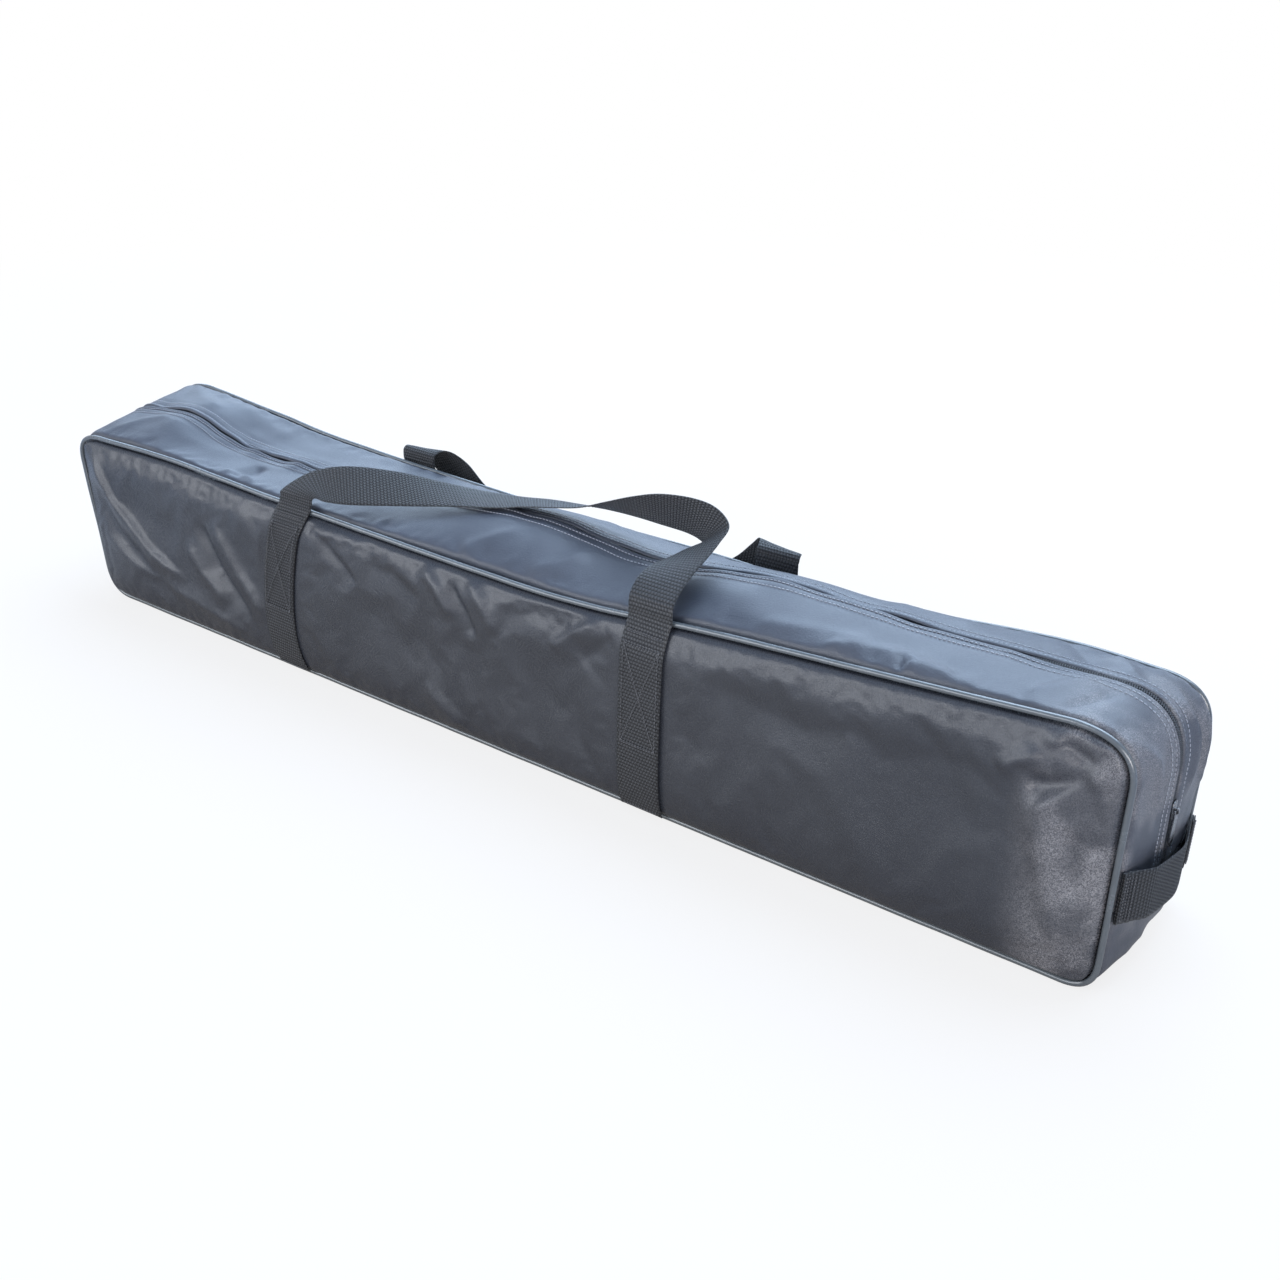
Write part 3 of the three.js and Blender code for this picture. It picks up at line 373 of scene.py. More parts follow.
# ---- Face panels ----
# Each long face is one piece of coated nylon. It crowns over the tubes behind it, rolls back under the top
# piping, dips into the seam all round, and keeps the creases it got when the bag was filled.
panel_inset, shoulder_slope, shoulder_reach, shoulder_turn = 5 * mm, 0.42, 23 * mm, 3 * mm
end_rounding, foot_rounding = 20 * mm, 15 * mm
panel_columns, panel_rows = 400, 80
seam_dip, seam_dip_width = 4.4 * mm, 2.2 * mm
fold_fade, pucker_row = 9 * mm, 8 * mm
front_folds = [
    ([(-516, 160), (-486, 118), (-430, 74), (-386, 58)], 5, 20, 6.0, 0.35),
    ([(-520, 130), (-492, 84), (-440, 50), (-400, 40)], 12, 14, -4.0, 0.0),
    ([(-372, 100), (-350, 74), (-318, 48)], 8, 10, 4.6, 0.35),
    ([(-356, 128), (-330, 84), (-290, 40)], 6, 9, -5.0, 0.25),
    ([(-332, 132), (-300, 88), (-262, 44)], 7, 12, 5.2, 0.35),
    ([(-515, 76), (-463, 51), (-341, 34), (-300, 24)], 9, 9, 3.0, 0.25),
    ([(-470, 132), (-420, 108), (-380, 104)], 18, 20, -3.2, 0.0),
    ([(-300, 150), (-268, 130), (-250, 90)], 14, 14, 2.6, 0.0),
    ([(-198, 157), (-161, 160), (-130, 156)], 7, 10, 3.6, 0.25),
    ([(-188, 152), (-160, 132), (-142, 116)], 5, 9, -3.6, 0.3),
    ([(-134, 140), (-100, 138), (-66, 120)], 9, 14, -3.4, 0.1),
    ([(-62, 158), (-44, 142), (-26, 118)], 6, 9, 4.4, 0.3),
    ([(-34, 150), (-16, 128), (-4, 106)], 5, 8, -4.6, 0.25),
    ([(-14, 160), (6, 140), (22, 118)], 6, 9, 3.8, 0.3),
    ([(20, 134), (60, 146), (110, 142)], 9, 14, -3.4, 0.1),
    ([(76, 122), (98, 142), (124, 160)], 6, 10, 4.4, 0.35),
    ([(104, 118), (122, 134), (136, 150)], 6, 8, -3.0, 0.2),
    ([(-66, 48), (-44, 30), (-22, 14)], 9, 13, 3.4, 0.2),
    ([(-190, 60), (-110, 82), (20, 70), (120, 78)], 34, 30, -2.2, 0.0),
    ([(200, 140), (300, 130), (400, 138), (450, 150)], 12, 18, -2.0, 0.0),
    ([(448, 152), (470, 168), (492, 186)], 6, 8, 5.4, 0.3),
    ([(470, 172), (492, 180), (512, 172)], 5, 6, -4.6, 0.2),
    ([(468, 146), (490, 152), (514, 164)], 7, 8, -5.0, 0.2),
    ([(476, 130), (496, 150), (520, 172)], 5, 8, 4.4, 0.3),
    ([(476, 150), (488, 103), (498, 66), (508, 30)], 16, 13, 5.6, 0.05),
    ([(500, 128), (506, 100), (510, 70)], 6, 7, -2.6, 0.1),
    ([(440, 120), (400, 104), (340, 100)], 24, 26, -2.0, 0.0),
]
back_folds = [
    ([(508, 166), (470, 120), (400, 84)], 8, 18, 5.0, 0.35),
    ([(-500, 170), (-470, 120), (-420, 70)], 8, 18, 5.0, 0.35),
    ([(-512, 60), (-450, 46), (-380, 20)], 9, 12, 3.4, 0.25),
    ([(-240, 156), (-270, 120), (-330, 80)], 7, 13, 4.0, 0.3),
    ([(-190, 152), (-150, 120), (-120, 70)], 7, 13, 3.8, 0.3),
    ([(-60, 152), (-20, 126), (60, 138), (110, 150)], 10, 14, -3.6, 0.1),
    ([(212, 154), (250, 120), (300, 96)], 7, 12, 4.2, 0.3),
    ([(160, 146), (130, 110), (100, 60)], 8, 13, 3.4, 0.25),
    ([(505, 40), (440, 44), (360, 24)], 9, 12, 3.2, 0.2),
    ([(330, 146), (380, 136), (440, 152)], 10, 12, 3.0, 0.1),
    ([(-120, 40), (0, 30), (120, 44)], 24, 24, -2.2, 0.0),
]


def crown_at(outline, x, z):
    """How far the filled panel stands out: a shoulder under the top piping, rounded below and at the ends."""
    from_top = max(outline["ridge_at"](x) - z, 0.0)
    from_end = max(half_length - abs(x), 0.0)
    reach = shoulder_reach * (1 + 0.16 * noise.noise(Vector((x * 13, 2.0, 5.0))))
    turned = math.log((1 + math.exp((from_top - reach) / shoulder_turn))
                      / (1 + math.exp(-reach / shoulder_turn)))
    shoulder = from_top - shoulder_turn * turned
    end_round = 1 - math.exp(-from_end / end_rounding)
    foot_round = 1 - math.exp(-max(z, 0.0) / foot_rounding)
    return shoulder_slope * shoulder * end_round * foot_round


# Two runs of webbing are sewn up each panel; the cloth lies tight and flat under them.
webbing_width, webbing_thickness, run_steps = 40 * mm, 1.6 * mm, 120
root_top, root_y = 175.93 * mm, 74 * mm
run_inner, run_foot, run_waist = half_width + 0.7 * mm, 5 * mm, lowest_top * 0.4
front_roots, back_middle, back_reach = (-219 * mm, 168 * mm), -14 * mm, 200 * mm
runs = [
    ("front_handle_run_left", "front", -1, front_roots[0], -0.52, -1.08),
    ("front_handle_run_right", "front", -1, front_roots[1], -0.1, -0.12),
    ("back_handle_run_left", "back", 1, back_middle - back_reach, 0, 0),
    ("back_handle_run_right", "back", 1, back_middle + back_reach, 0, 0)]


def run_middle(root_x, foot_lean, waist_lean, t):
    """The middle of a sewn run in x and z, from its foot at t = 0 to its root at t = 1."""
    foot = Vector((root_x + foot_lean * webbing_width, run_foot))
    waist = Vector((root_x + waist_lean * webbing_width, run_waist))
    root = Vector((root_x, root_top))
    return foot.lerp(waist, t).lerp(waist.lerp(root, t), t)


def run_path(outline, way, root_x, foot_lean, waist_lean):
    """The middle line of a sewn run over the crown of its panel, with its edge ways."""
    places, edges = [], []
    for step in range(run_steps + 1):
        middle = run_middle(root_x, foot_lean, waist_lean, step / run_steps)
        crown = crown_at(outline, middle.x, middle.y)
        places.append(Vector((middle.x, way * (run_inner + webbing_thickness / 2 + crown), middle.y)))
        low = crown_at(outline, middle.x - webbing_width / 2, middle.y)
        high = crown_at(outline, middle.x + webbing_width / 2, middle.y)
        edges.append(Vector((webbing_width, way * (high - low), 0)).normalized())
    return places, edges


def clear_of_runs(end_name, x, z):
    """Distance from the nearest run's edge along the panel: below nothing under the webbing."""
    nearest = 1.0
    for _, panel, _, root_x, foot_lean, waist_lean in runs:
        if panel == end_name:
            middle = run_middle(root_x, foot_lean, waist_lean, min(max(z / root_top, 0.0), 1.0))
            nearest = min(nearest, abs(x - middle.x) - webbing_width / 2)
    return nearest


def face_panel(name, end_name, outward, folds, seed):
    """A patch of cloth spanned between the four stretches of its seam, with its folds pressed in."""
    outline = outlines[end_name]
    loop = inset_line(outline["all"], panel_inset)
    count = len(loop)
    half = corner_steps // 2
    low_left = side_steps + half
    low_right = low_left + corner_steps + long_steps
    high_right = low_right + corner_steps + 2 * side_steps
    high_left = high_right + corner_steps + long_steps
    bottom = evenly_along(loop[low_left:low_right + 1], panel_columns)
    right = evenly_along(loop[low_right:high_right + 1], panel_rows)
    top = evenly_along(loop[high_right:high_left + 1], panel_columns)[::-1]
    left_turn = [loop[i % count] for i in range(high_left, count + low_left + 1)]
    left = evenly_along(left_turn, panel_rows)[::-1]
    shape, lay = new_cloth(panel_columns, panel_rows)
    edge_distance = {}
    for vert in shape.verts:
        a, b = vert.co.x + 0.5, vert.co.y + 0.5
        i, j = round(a * panel_columns), round(b * panel_rows)
        place = bottom[i].lerp(top[i], b) + left[j].lerp(right[j], a)
        place -= bottom[0].lerp(bottom[-1], a).lerp(top[0].lerp(top[-1], a), b)
        x, z = place
        rim = min((place - near).length for near in (bottom[i], top[i], left[j], right[j]))
        beside_run = clear_of_runs(end_name, x, z)
        edge_distance[vert.index] = min(rim, beside_run)
        height = crown_at(outline, x, z) - seam_dip * mound(rim, seam_dip_width)
        fade = ease(rim / fold_fade) * ease((beside_run + 1 * mm) / fold_fade)
        height -= 0.5 * mm * mound(beside_run - 1.5 * mm, 2.5 * mm)
        height += fade * mm * fold_height(x / mm, z / mm, folds)
        ripple = 1.6 * noise.noise(Vector((x * 9, z * 12, seed + 1)))
        ripple += 0.7 * noise.noise(Vector((x * 34, z * 26, seed)))
        ripple += 0.3 * noise.noise(Vector((x * 90, z * 60, seed + 7)))
        height += fade * mm * ripple
        pucker = noise.noise(Vector((x * 120, z * 120, seed + 3)))
        height += 1.1 * mm * fade * pucker * mound(rim - fold_fade, pucker_row)
        vert.co = (x, outward * (half_width + height), z)
    if outward > 0:
        bmesh.ops.reverse_faces(shape, faces=shape.faces)
    lay_cloth(shape, lay, lambda vert: (vert.co.x, vert.co.z))
    return new_piece(name, shape), edge_distance


front_cloth, front_rim = face_panel("front_cloth", "front", -1, front_folds, 1.7)
back_cloth, back_rim = face_panel("back_cloth", "back", 1, back_folds, 5.3)


# ---- Band round the bag ----
# The strips of the band lie between the two outlines. Beside the zip each top strip is folded under into a
# soft hem that wanders with the slack; at the piping it dips into the seam, and it crumples at the corners.
def band_point(part, station, y):
    """A point of the band: along the outlines by station, and across by y."""
    low = min(int(station), last_station - 1)
    step = station - low
    share = y / band_half
    front_place = outlines["front"][part][low].lerp(outlines["front"][part][low + 1], step)
    back_place = outlines["back"][part][low].lerp(outlines["back"][part][low + 1], step)
    middle_place = outlines["middle"][part][low].lerp(outlines["middle"][part][low + 1], step)
    place = front_place.lerp(back_place, (1 + share) / 2)
    place += (middle_place - (front_place + back_place) / 2) * (1 - share ** 2)
    return Vector((place.x, y, place.y))


def band_out(part, station, y):
    """The way out of the bag at a point of the band."""
    along = band_point(part, min(station + 3, last_station), y) - band_point(part, max(station - 3, 0), y)
    over = band_point(part, station, y + mm) - band_point(part, station, y - mm)
    return over.cross(along).normalized()


station_run = lengths_along([band_point("upper", station, 0) for station in range(last_station + 1)])
top_folds = [
    ([(-322, -62), (-320, -44), (-318, -24)], 7, 9, -4.0, 0.2),
    ([(-340, -60), (-318, -52), (-290, -60)], 5, 6, 2.6, 0.3),
    ([(-470, -20), (-420, -34), (-350, -20)], 12, 12, 1.6, 0.1),
    ([(-512, -60), (-490, -30), (-460, -14)], 7, 10, 2.0, 0.3),
    ([(-516, 58), (-480, 36), (-440, 26)], 8, 10, 2.6, 0.2),
    ([(-440, 62), (-400, 46), (-350, 40)], 12, 14, 1.8, 0.1),
    ([(-240, 60), (-200, 40), (-140, 40)], 14, 14, -1.6, 0.0),
    ([(30, -62), (56, -46), (70, -22)], 8, 10, 1.8, 0.2),
    ([(-40, -60), (-20, -44), (6, -20)], 7, 9, 1.6, 0.2),
    ([(240, -58), (300, -48), (340, -44)], 8, 9, 2.2, 0.2),
    ([(290, -66), (326, -54), (352, -50), (388, -56), (424, -66)], 8, 9, 3.6, 0.2),
    ([(366, -68), (365, -58), (361, -49)], 2.6, 4, -3.0, 0.3),
    ([(374, -66), (372, -56)], 3.0, 4, 1.8, 0.3),
    ([(452, -56), (470, -34), (486, -12)], 7, 9, 3.0, 0.3),
    ([(478, -60), (492, -40), (500, -18)], 5, 6, -3.0, 0.3),
    ([(470, 56), (488, 36), (498, 16)], 6, 7, 3.0, 0.3),
    ([(440, 60), (452, 40), (470, 18)], 7, 8, -2.0, 0.2),
    ([(300, 58), (330, 40), (390, 36)], 10, 12, 1.8, 0.1),
]
right_end_folds = [
    ([(-58, 186), (-40, 168), (-30, 120)], 5, 6, 2.8, 0.4),
    ([(-20, 178), (-26, 150), (-22, 100)], 5, 6, -1.8, 0.2),
    ([(20, 186), (28, 160), (26, 110)], 4, 5, 4.2, 0.4),
    ([(40, 184), (44, 150), (50, 116)], 4, 5, -4.4, 0.3),
    ([(58, 176), (56, 140), (60, 100)], 4, 4, 3.4, 0.3),
    ([(-60, 52), (-30, 30), (0, 8)], 6, 8, 2.8, 0.4),
    ([(-56, 30), (-30, 14), (-8, 2)], 5, 6, 2.0, 0.3),
    ([(60, 56), (30, 30), (10, 6)], 6, 8, 2.6, 0.3),
    ([(-10, 48), (10, 30), (40, 14)], 6, 7, 1.8, 0.3),
]
left_end_folds = [
    ([(-56, 168), (-30, 140), (-14, 100)], 6, 8, 3.0, 0.4),
    ([(54, 176), (32, 150), (26, 100)], 6, 8, 3.0, 0.4),
    ([(-60, 50), (-26, 26), (6, 6)], 6, 8, 2.6, 0.3),
    ([(60, 44), (36, 24), (14, 6)], 6, 8, 2.2, 0.3),
    ([(10, 160), (18, 130), (10, 90)], 5, 6, -2.0, 0.2),
]
hem_reach = 3.2 * mm
top_slack, bottom_slack = 6.4, 3.0
right_opening, right_closing, left_opening, left_closing = 190 * mm, 60 * mm, 165 * mm, 50 * mm


def open_zip(station):
    """How far the two hems part: closed along the top, open over the right corner and down both ends."""
    run = station_run[min(int(station), last_station)]
    right_end = 1 - ease((run - right_opening) / right_closing)
    left_end = ease((run - station_run[-1] + left_opening) / left_closing)
    return max(right_end, left_end)


parted = [(-464, 14, 1.6), (-392, 16, 2.6), (-352, 11, 2.2), (-296, 12, 2.6), (-250, 14, 2.2), (-60, 30, 1.4),
          (96, 20, 1.6), (232, 24, 1.9), (330, 22, 1.4)]


def hem_wander(station, way):
    """The sideways shift that both hems share, how far this hem lies from it, and its rise, in metres."""
    run = station_run[min(int(station), last_station)]
    x = band_point("upper", station, 0).x / mm
    closed = 1 - open_zip(station)
    across = noise.noise(Vector((run * 14, 2.2, 4.0))) * 5.0 + math.sin(run * 61) * 0.8
    lifted = sum(gap * mound(x - middle, reach) for middle, reach, gap in parted) * closed
    gap = 1.0 + 0.4 * noise.noise(Vector((run * 40, 7.0 * way, 1.0))) + 2.9 * (1 - closed) + 0.55 * lifted
    rise = noise.noise(Vector((run * 21, 9.0, 3.0 * way))) * 3.2 * (0.2 + 0.8 * closed)
    rise += lifted * (1.2 if way < 0 else 0.4)
    return across * mm * (0.2 + 0.8 * closed), gap * mm, rise * mm


hem_nose, hem_lip = 3, [(4.5, -2.6), (1.4, -2.5), (0.1, -1.5)]


def end_or_top_folds(place):
    """The folds at a place of the band, in millimetres."""
    if abs(place.x) < half_length - 22 * mm:
        return fold_height(place.x / mm, place.y / mm, top_folds)
    folds = right_end_folds if place.x > 0 else left_end_folds
    return fold_height(place.y / mm, place.z / mm, folds)


def band_sheet(name, part, near_y, far_y, rows, seed):
    """One strip of the band between two distances across, with its hem, seams and slack."""
    hemmed = part == "upper"
    way = 1 if far_y > near_y else -1
    shape, lay = new_cloth(last_station, rows)
    flat_place = {}
    for vert in shape.verts:
        a, b = vert.co.x + 0.5, vert.co.y + 0.5
        station, row, under = round(a * last_station), round(b * rows), None
        if hemmed and row < hem_nose:
            inward, under = hem_lip[row]
            y = near_y + way * inward * mm
        else:
            b = (row - hem_nose) / (rows - hem_nose) if hemmed else b
            spread = 0.35 * b + 0.65 * (1 - math.cos(math.pi * b)) / 2
            y = near_y + (far_y - near_y) * spread
        flat_place[vert] = (station_run[station], y)
        from_hem = abs(y - near_y) if hemmed else 1.0
        from_seam = band_half - abs(y)
        height = -4.6 * mound(from_seam, 2.4 * mm)
        fade = ease(from_seam / (10 * mm)) * ease((from_hem + 2 * mm) / (12 * mm))
        place = band_point(part, station, y)
        run = station_run[station]
        height += fade * end_or_top_folds(place)
        loose = 1.0 if hemmed else 0.22
        height += loose * fade * 0.9 * noise.noise(Vector((run * 30, y * 40, seed)))
        pucker = noise.noise(Vector((run * 95, y * 60, seed + 4)))
        height += loose * 1.3 * pucker * mound(from_seam - fold_fade, pucker_row)
        shift = 0.0
        if hemmed:
            across, gap, rise = hem_wander(station, way)
            hold = mound(from_hem, 13 * mm)
            shift = across * hold - way * (hem_reach - gap) * mound(from_hem, 9 * mm)
            height += rise / mm * hold + 0.9 * mound(from_hem - 2.2 * mm, 1.7 * mm)
            height -= 0.8 * mound(from_hem, 0.7 * mm)
            height -= 0.8 * mound(from_hem - 5.0 * mm, 1.0 * mm) + 0.9 * mound(from_hem - 12.6 * mm, 1.3 * mm)
            if under is not None:
                height = rise / mm * mound(abs(y - near_y), 13 * mm) + under
        else:
            height = max(height, -place.z / mm) if place.z < 6 * mm else height
            height *= 0.6 * ease(place.z / (10 * mm)) if height > 0 else 1.0
            height -= 1.2 * mound(min(station, last_station - station) * 2.0, 1.4)
        if hemmed:
            height -= 1.4 * mound(min(run, station_run[-1] - run) / mm, 1.6)
        limit = top_slack if hemmed else bottom_slack
        height = min(max(height, -limit), limit)
        y_moved = y + shift
        vert.co = band_point(part, station, y_moved) + band_out(part, station, y_moved) * height * mm
    lay_cloth(shape, lay, flat_place.get)
    bmesh.ops.recalc_face_normals(shape, faces=shape.faces)
    level_way = sum(face.normal.z for face in shape.faces if abs(face.calc_center_median().y) > 30 * mm)
    if (level_way > 0) != hemmed:
        bmesh.ops.reverse_faces(shape, faces=shape.faces)
    return new_piece(name, shape)


front_strip = band_sheet("top_strip_front_cloth", "upper", -hem_reach, -band_half, 32, 2.1)
back_strip = band_sheet("top_strip_back_cloth", "upper", hem_reach, band_half, 32, 8.4)
under_strip = band_sheet("bottom_band_cloth", "lower", -band_half, band_half, 34, 3.6)

# ---- Sewing and filling ----
# With every seam held, the cloth is let go for a moment over the filled bag, so that the pressed folds
# relax and the slack gathers into the small puckers that a sewn, coated nylon keeps.
loosened = [(front_cloth, front_rim), (back_cloth, back_rim)]
frames, most_move = 16, 3 * mm
for cloth_piece, rim in loosened:
    held = cloth_piece.vertex_groups.new(name="sewn")
    for index, distance in rim.items():
        grip = 1.0 - 0.94 * ease((distance - 2 * mm) / (12 * mm))
        held.add([index], grip, "REPLACE")
    cloth = cloth_piece.modifiers.new("cloth", "CLOTH")
    cloth.settings.quality = 5
    cloth.settings.mass = 0.2
    cloth.settings.tension_stiffness = 30
    cloth.settings.compression_stiffness = 30
    cloth.settings.shear_stiffness = 12
    cloth.settings.bending_stiffness = 1.5
    cloth.settings.air_damping = 4
    cloth.settings.shrink_min = -0.004
    cloth.settings.effector_weights.gravity = 0
    cloth.settings.vertex_group_mass = "sewn"
    cloth.settings.pin_stiffness = 1.0
    cloth.point_cache.frame_start = 1
    cloth.point_cache.frame_end = frames
for moment in range(1, frames + 1):
    bpy.context.scene.frame_set(moment)
settled_bag = bpy.context.evaluated_depsgraph_get()
for cloth_piece, _ in loosened:
    settled = bpy.data.meshes.new_from_object(cloth_piece.evaluated_get(settled_bag))
    for vert, settled_vert in zip(cloth_piece.data.vertices, settled.vertices):
        move = settled_vert.co - vert.co
        if move.length > most_move:
            move *= most_move / move.length
        vert.co += move
    bpy.data.meshes.remove(settled)
    cloth_piece.modifiers.clear()
bpy.context.scene.frame_set(1)


def thicken(piece, thickness, offset):
    """Gives a sheet its thickness: about its face at no offset, or inside it at -1."""
    wall = piece.modifiers.new("thickness", "SOLIDIFY")
    wall.thickness, wall.offset = thickness, offset


cloth_thickness = 0.6 * mm
for cloth_piece in (front_cloth, back_cloth, front_strip, back_strip, under_strip):
    thicken(cloth_piece, cloth_thickness, -1)
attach(front_cloth, "bag")
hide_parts("front_panel")
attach(back_cloth, "bag")
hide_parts("back_panel")
for strip, node_name in ((front_strip, "top_strip_front"), (back_strip, "top_strip_back")):
    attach(strip, "bag")
    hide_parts(node_name)
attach(under_strip, "bag")
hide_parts("bottom_band")


# ---- Piping ----
# A cord in a sleeve of grey vinyl is sewn between each face panel and the band. It stands round and proud
# all the way round, and the two cloths turn in beside it.
piping_radius, piping_steps, piping_wander = 2.3 * mm, 900, 0.5 * mm
piping_y = half_width + 0.4 * mm - piping_radius
piping_cords = []
for end_name, way in (("front", -1), ("back", 1)):
    route = inset_line(outlines[end_name]["all"], piping_radius + 0.1 * mm)
    route = evenly_along(route + [route[0]], piping_steps)[:-1]
    line = bpy.data.curves.new("piping_line", "CURVE")
    line.dimensions = "3D"
    line.bevel_depth = piping_radius
    line.bevel_resolution = 4
    run_round = line.splines.new("POLY")
    run_round.points.add(len(route) - 1)
    for point, place in zip(run_round.points, route):
        wander = piping_wander * noise.noise(Vector((place.x * 22, place.y * 22, way * 3)))
        point.co = (place.x, way * (piping_y + wander), place.y, 1)
    run_round.use_cyclic_u = True
    swept = bpy.data.objects.new("piping_line", line)
    bpy.context.scene.collection.objects.link(swept)
    swept_mesh = bpy.data.meshes.new_from_object(swept)
    bpy.data.objects.remove(swept)
    cord = bpy.data.objects.new(f"piping_{end_name}_cord", swept_mesh)
    bpy.context.scene.collection.objects.link(cord)
    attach(cord, "bag")
    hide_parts(f"piping_{end_name}")
    piping_cords.append(cord)


# ---- Stitching ----
# Heavy thread lies on the cloth in short pillows. Two rows run beside each hem, and the rows that fix the
# webbing are made of the same stitch.
pillow = bmesh.new()
bmesh.ops.create_uvsphere(pillow, u_segments=6, v_segments=4, radius=1)
bmesh.ops.rotate(pillow, verts=pillow.verts, matrix=Matrix.Rotation(math.pi / 2, 3, "Y"))
thread_lift = 0.25 * mm
hem_row_places = (4.6 * mm, 12.4 * mm)


def lay_pillow(shape, place, along, over, out):
    """A copy of the pillow in a shape, its three half lengths given as vectors."""
    turn = Matrix((along, over, out)).transposed()
    copied = [shape.verts.new(place + turn @ vert.co) for vert in pillow.verts]
    for face in pillow.faces:
        shape.faces.new([copied[vert.index] for vert in face.verts])


def stitch(shape, place, along, out, length, radius):
    """One stitch: a small pillow of thread lying along its row."""
    along = along.normalized()
    over = out.cross(along).normalized()
    lay_pillow(shape, place, along * length / 2, over * radius, along.cross(over) * radius)


def stitch_row(shape, places, outs, pitch=3.5 * mm, length=2.8 * mm, radius=0.48 * mm):
    """A row of stitches along a line of places on the cloth."""
    reached = lengths_along(places)
    count = max(1, int(reached[-1] / pitch))
    for k in range(count):
        after, share = find_along(reached, (k + 0.5) * reached[-1] / count)
        a, b = places[after - 1], places[after]
        stitch(shape, a.lerp(b, share) + outs[after] * thread_lift, b - a, outs[after], length, radius)


def along_strip(strip, from_hem):
    """Places and outward ways along a top strip, read off its cloth at a distance from the hem."""
    rows = {}
    for vert in strip.data.vertices:
        rows.setdefault(vert.index % (last_station + 1), []).append(vert)
    places, outs = [], []
    for station in range(2, last_station - 1):
        column = rows[station][hem_nose:]
        hem_y = abs(column[0].co.y)
        after = next(k for k, vert in enumerate(column) if abs(vert.co.y) - hem_y >= from_hem)
        a, b = column[after - 1], column[after]
        share = (hem_y + from_hem - abs(a.co.y)) / max(abs(b.co.y) - abs(a.co.y), 1e-6)
        places.append(a.co.lerp(b.co, share))
        outs.append(b.normal.copy())
    return places, outs


hem_rows = bmesh.new()
for strip in (front_strip, back_strip):
    for from_hem in hem_row_places:
        stitch_row(hem_rows, *along_strip(strip, from_hem))
hem_stitches = new_piece("hem_stitches", hem_rows)
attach(hem_stitches, "bag")

# ---- Zip ----
# Two woven tapes carry a nylon coil whose turns mesh along the middle. The coil shows where the hems part,
# over the right corner and down the ends, with a stop at the foot of each end.
tape_depth, tape_drop, tape_width, tape_thickness = 1.9 * mm, 1.2 * mm, 13 * mm, 0.7 * mm
zip_half, tape_edge_gap = 3.2 * mm, 0.7 * mm
tapes = []
for end_name, way in (("front", -1), ("back", 1)):
    shape, lay = new_cloth(last_station, 6)
    for vert in shape.verts:
        station = round((vert.co.x + 0.5) * last_station)
        y = way * (tape_edge_gap + (zip_half + tape_width - tape_edge_gap) * (vert.co.y + 0.5))
        sunk = tape_depth + tape_drop * (1 - open_zip(station))
        vert.co = band_point("upper", station, y) - band_out("upper", station, y) * sunk
    lay_cloth(shape, lay, lambda vert: (vert.co.x + vert.co.z, vert.co.y))
    tape = new_piece(f"zip_tape_{end_name}_weave", shape)
    thicken(tape, tape_thickness, 0)
    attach(tape, "bag")
    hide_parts(f"zip_tape_{end_name}")
    tapes.append(tape)

coil_pitch, coil_middle, bare_turns = 1.7 * mm, 1.25 * mm, 6
turn_across, turn_along, turn_high = 1.75 * mm, 0.62 * mm, 0.85 * mm
coils = []
for end_name, way in (("front", -1), ("back", 1)):
    shape = bmesh.new()
    turns = int(station_run[-1] / coil_pitch)
    for k in range(bare_turns, turns - bare_turns + 1):
        after, share = find_along(station_run, (k + (0.5 if way > 0 else 0.0)) * coil_pitch)
        station = after - 1 + share
        y = way * coil_middle
        out = band_out("upper", station, y)
        place = band_point("upper", station, y) - out * (0.7 + 1.5 * (1 - open_zip(station))) * mm
        behind = band_point("upper", max(station - 1, 0), y)
        along = (band_point("upper", min(station + 1, last_station), y) - behind).normalized()
        lay_pillow(shape, place, out.cross(along) * turn_across, along * turn_along, out * turn_high)
    coil = new_piece(f"zip_coil_{end_name}", shape)
    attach(coil, "bag")
    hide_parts(f"zip_teeth_{end_name}")
    coils.append(coil)


def softened_copy(node_name, piece_name, width, segments):
    """A copy of a cast metal part with its edges rounded over."""
    shape = bmesh.new()
    shape.from_mesh(nodes[node_name].data)
    bmesh.ops.remove_doubles(shape, verts=shape.verts, dist=0.01 * mm)
    bmesh.ops.dissolve_limit(shape, angle_limit=math.radians(2), verts=shape.verts, edges=shape.edges)
    piece = new_piece(piece_name, shape, smooth=False)
    rounding = piece.modifiers.new("rounding", "BEVEL")
    rounding.width = width
    rounding.segments = segments
    rounding.limit_method = "ANGLE"
    rounding.angle_limit = math.radians(35)
    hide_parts(node_name)
    return piece


slider = softened_copy("zip_slider", "zip_slider_cast", 0.3 * mm, 3)
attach(slider, "slider")
pull_tab = softened_copy("zip_pull_tab", "zip_pull_tab_cast", 0.35 * mm, 3)
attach(pull_tab, "pull_tab")
stops = [softened_copy(f"zip_stop_{end}", f"zip_stop_{end}_cast", 0.3 * mm, 2) for end in ("right", "left")]
for stop in stops:
    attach(stop, "bag")

# ---- Carrying handles ----
# Each handle is one length of ribbed webbing. Two runs are sewn up the face panel with a boxed cross and bar
# tacks, and between them the webbing leaves the bag as a slack loop.
rib_pitch, rib_height, webbing_columns, selvedge = 3.0 * mm, 0.26 * mm, 14, 0.03


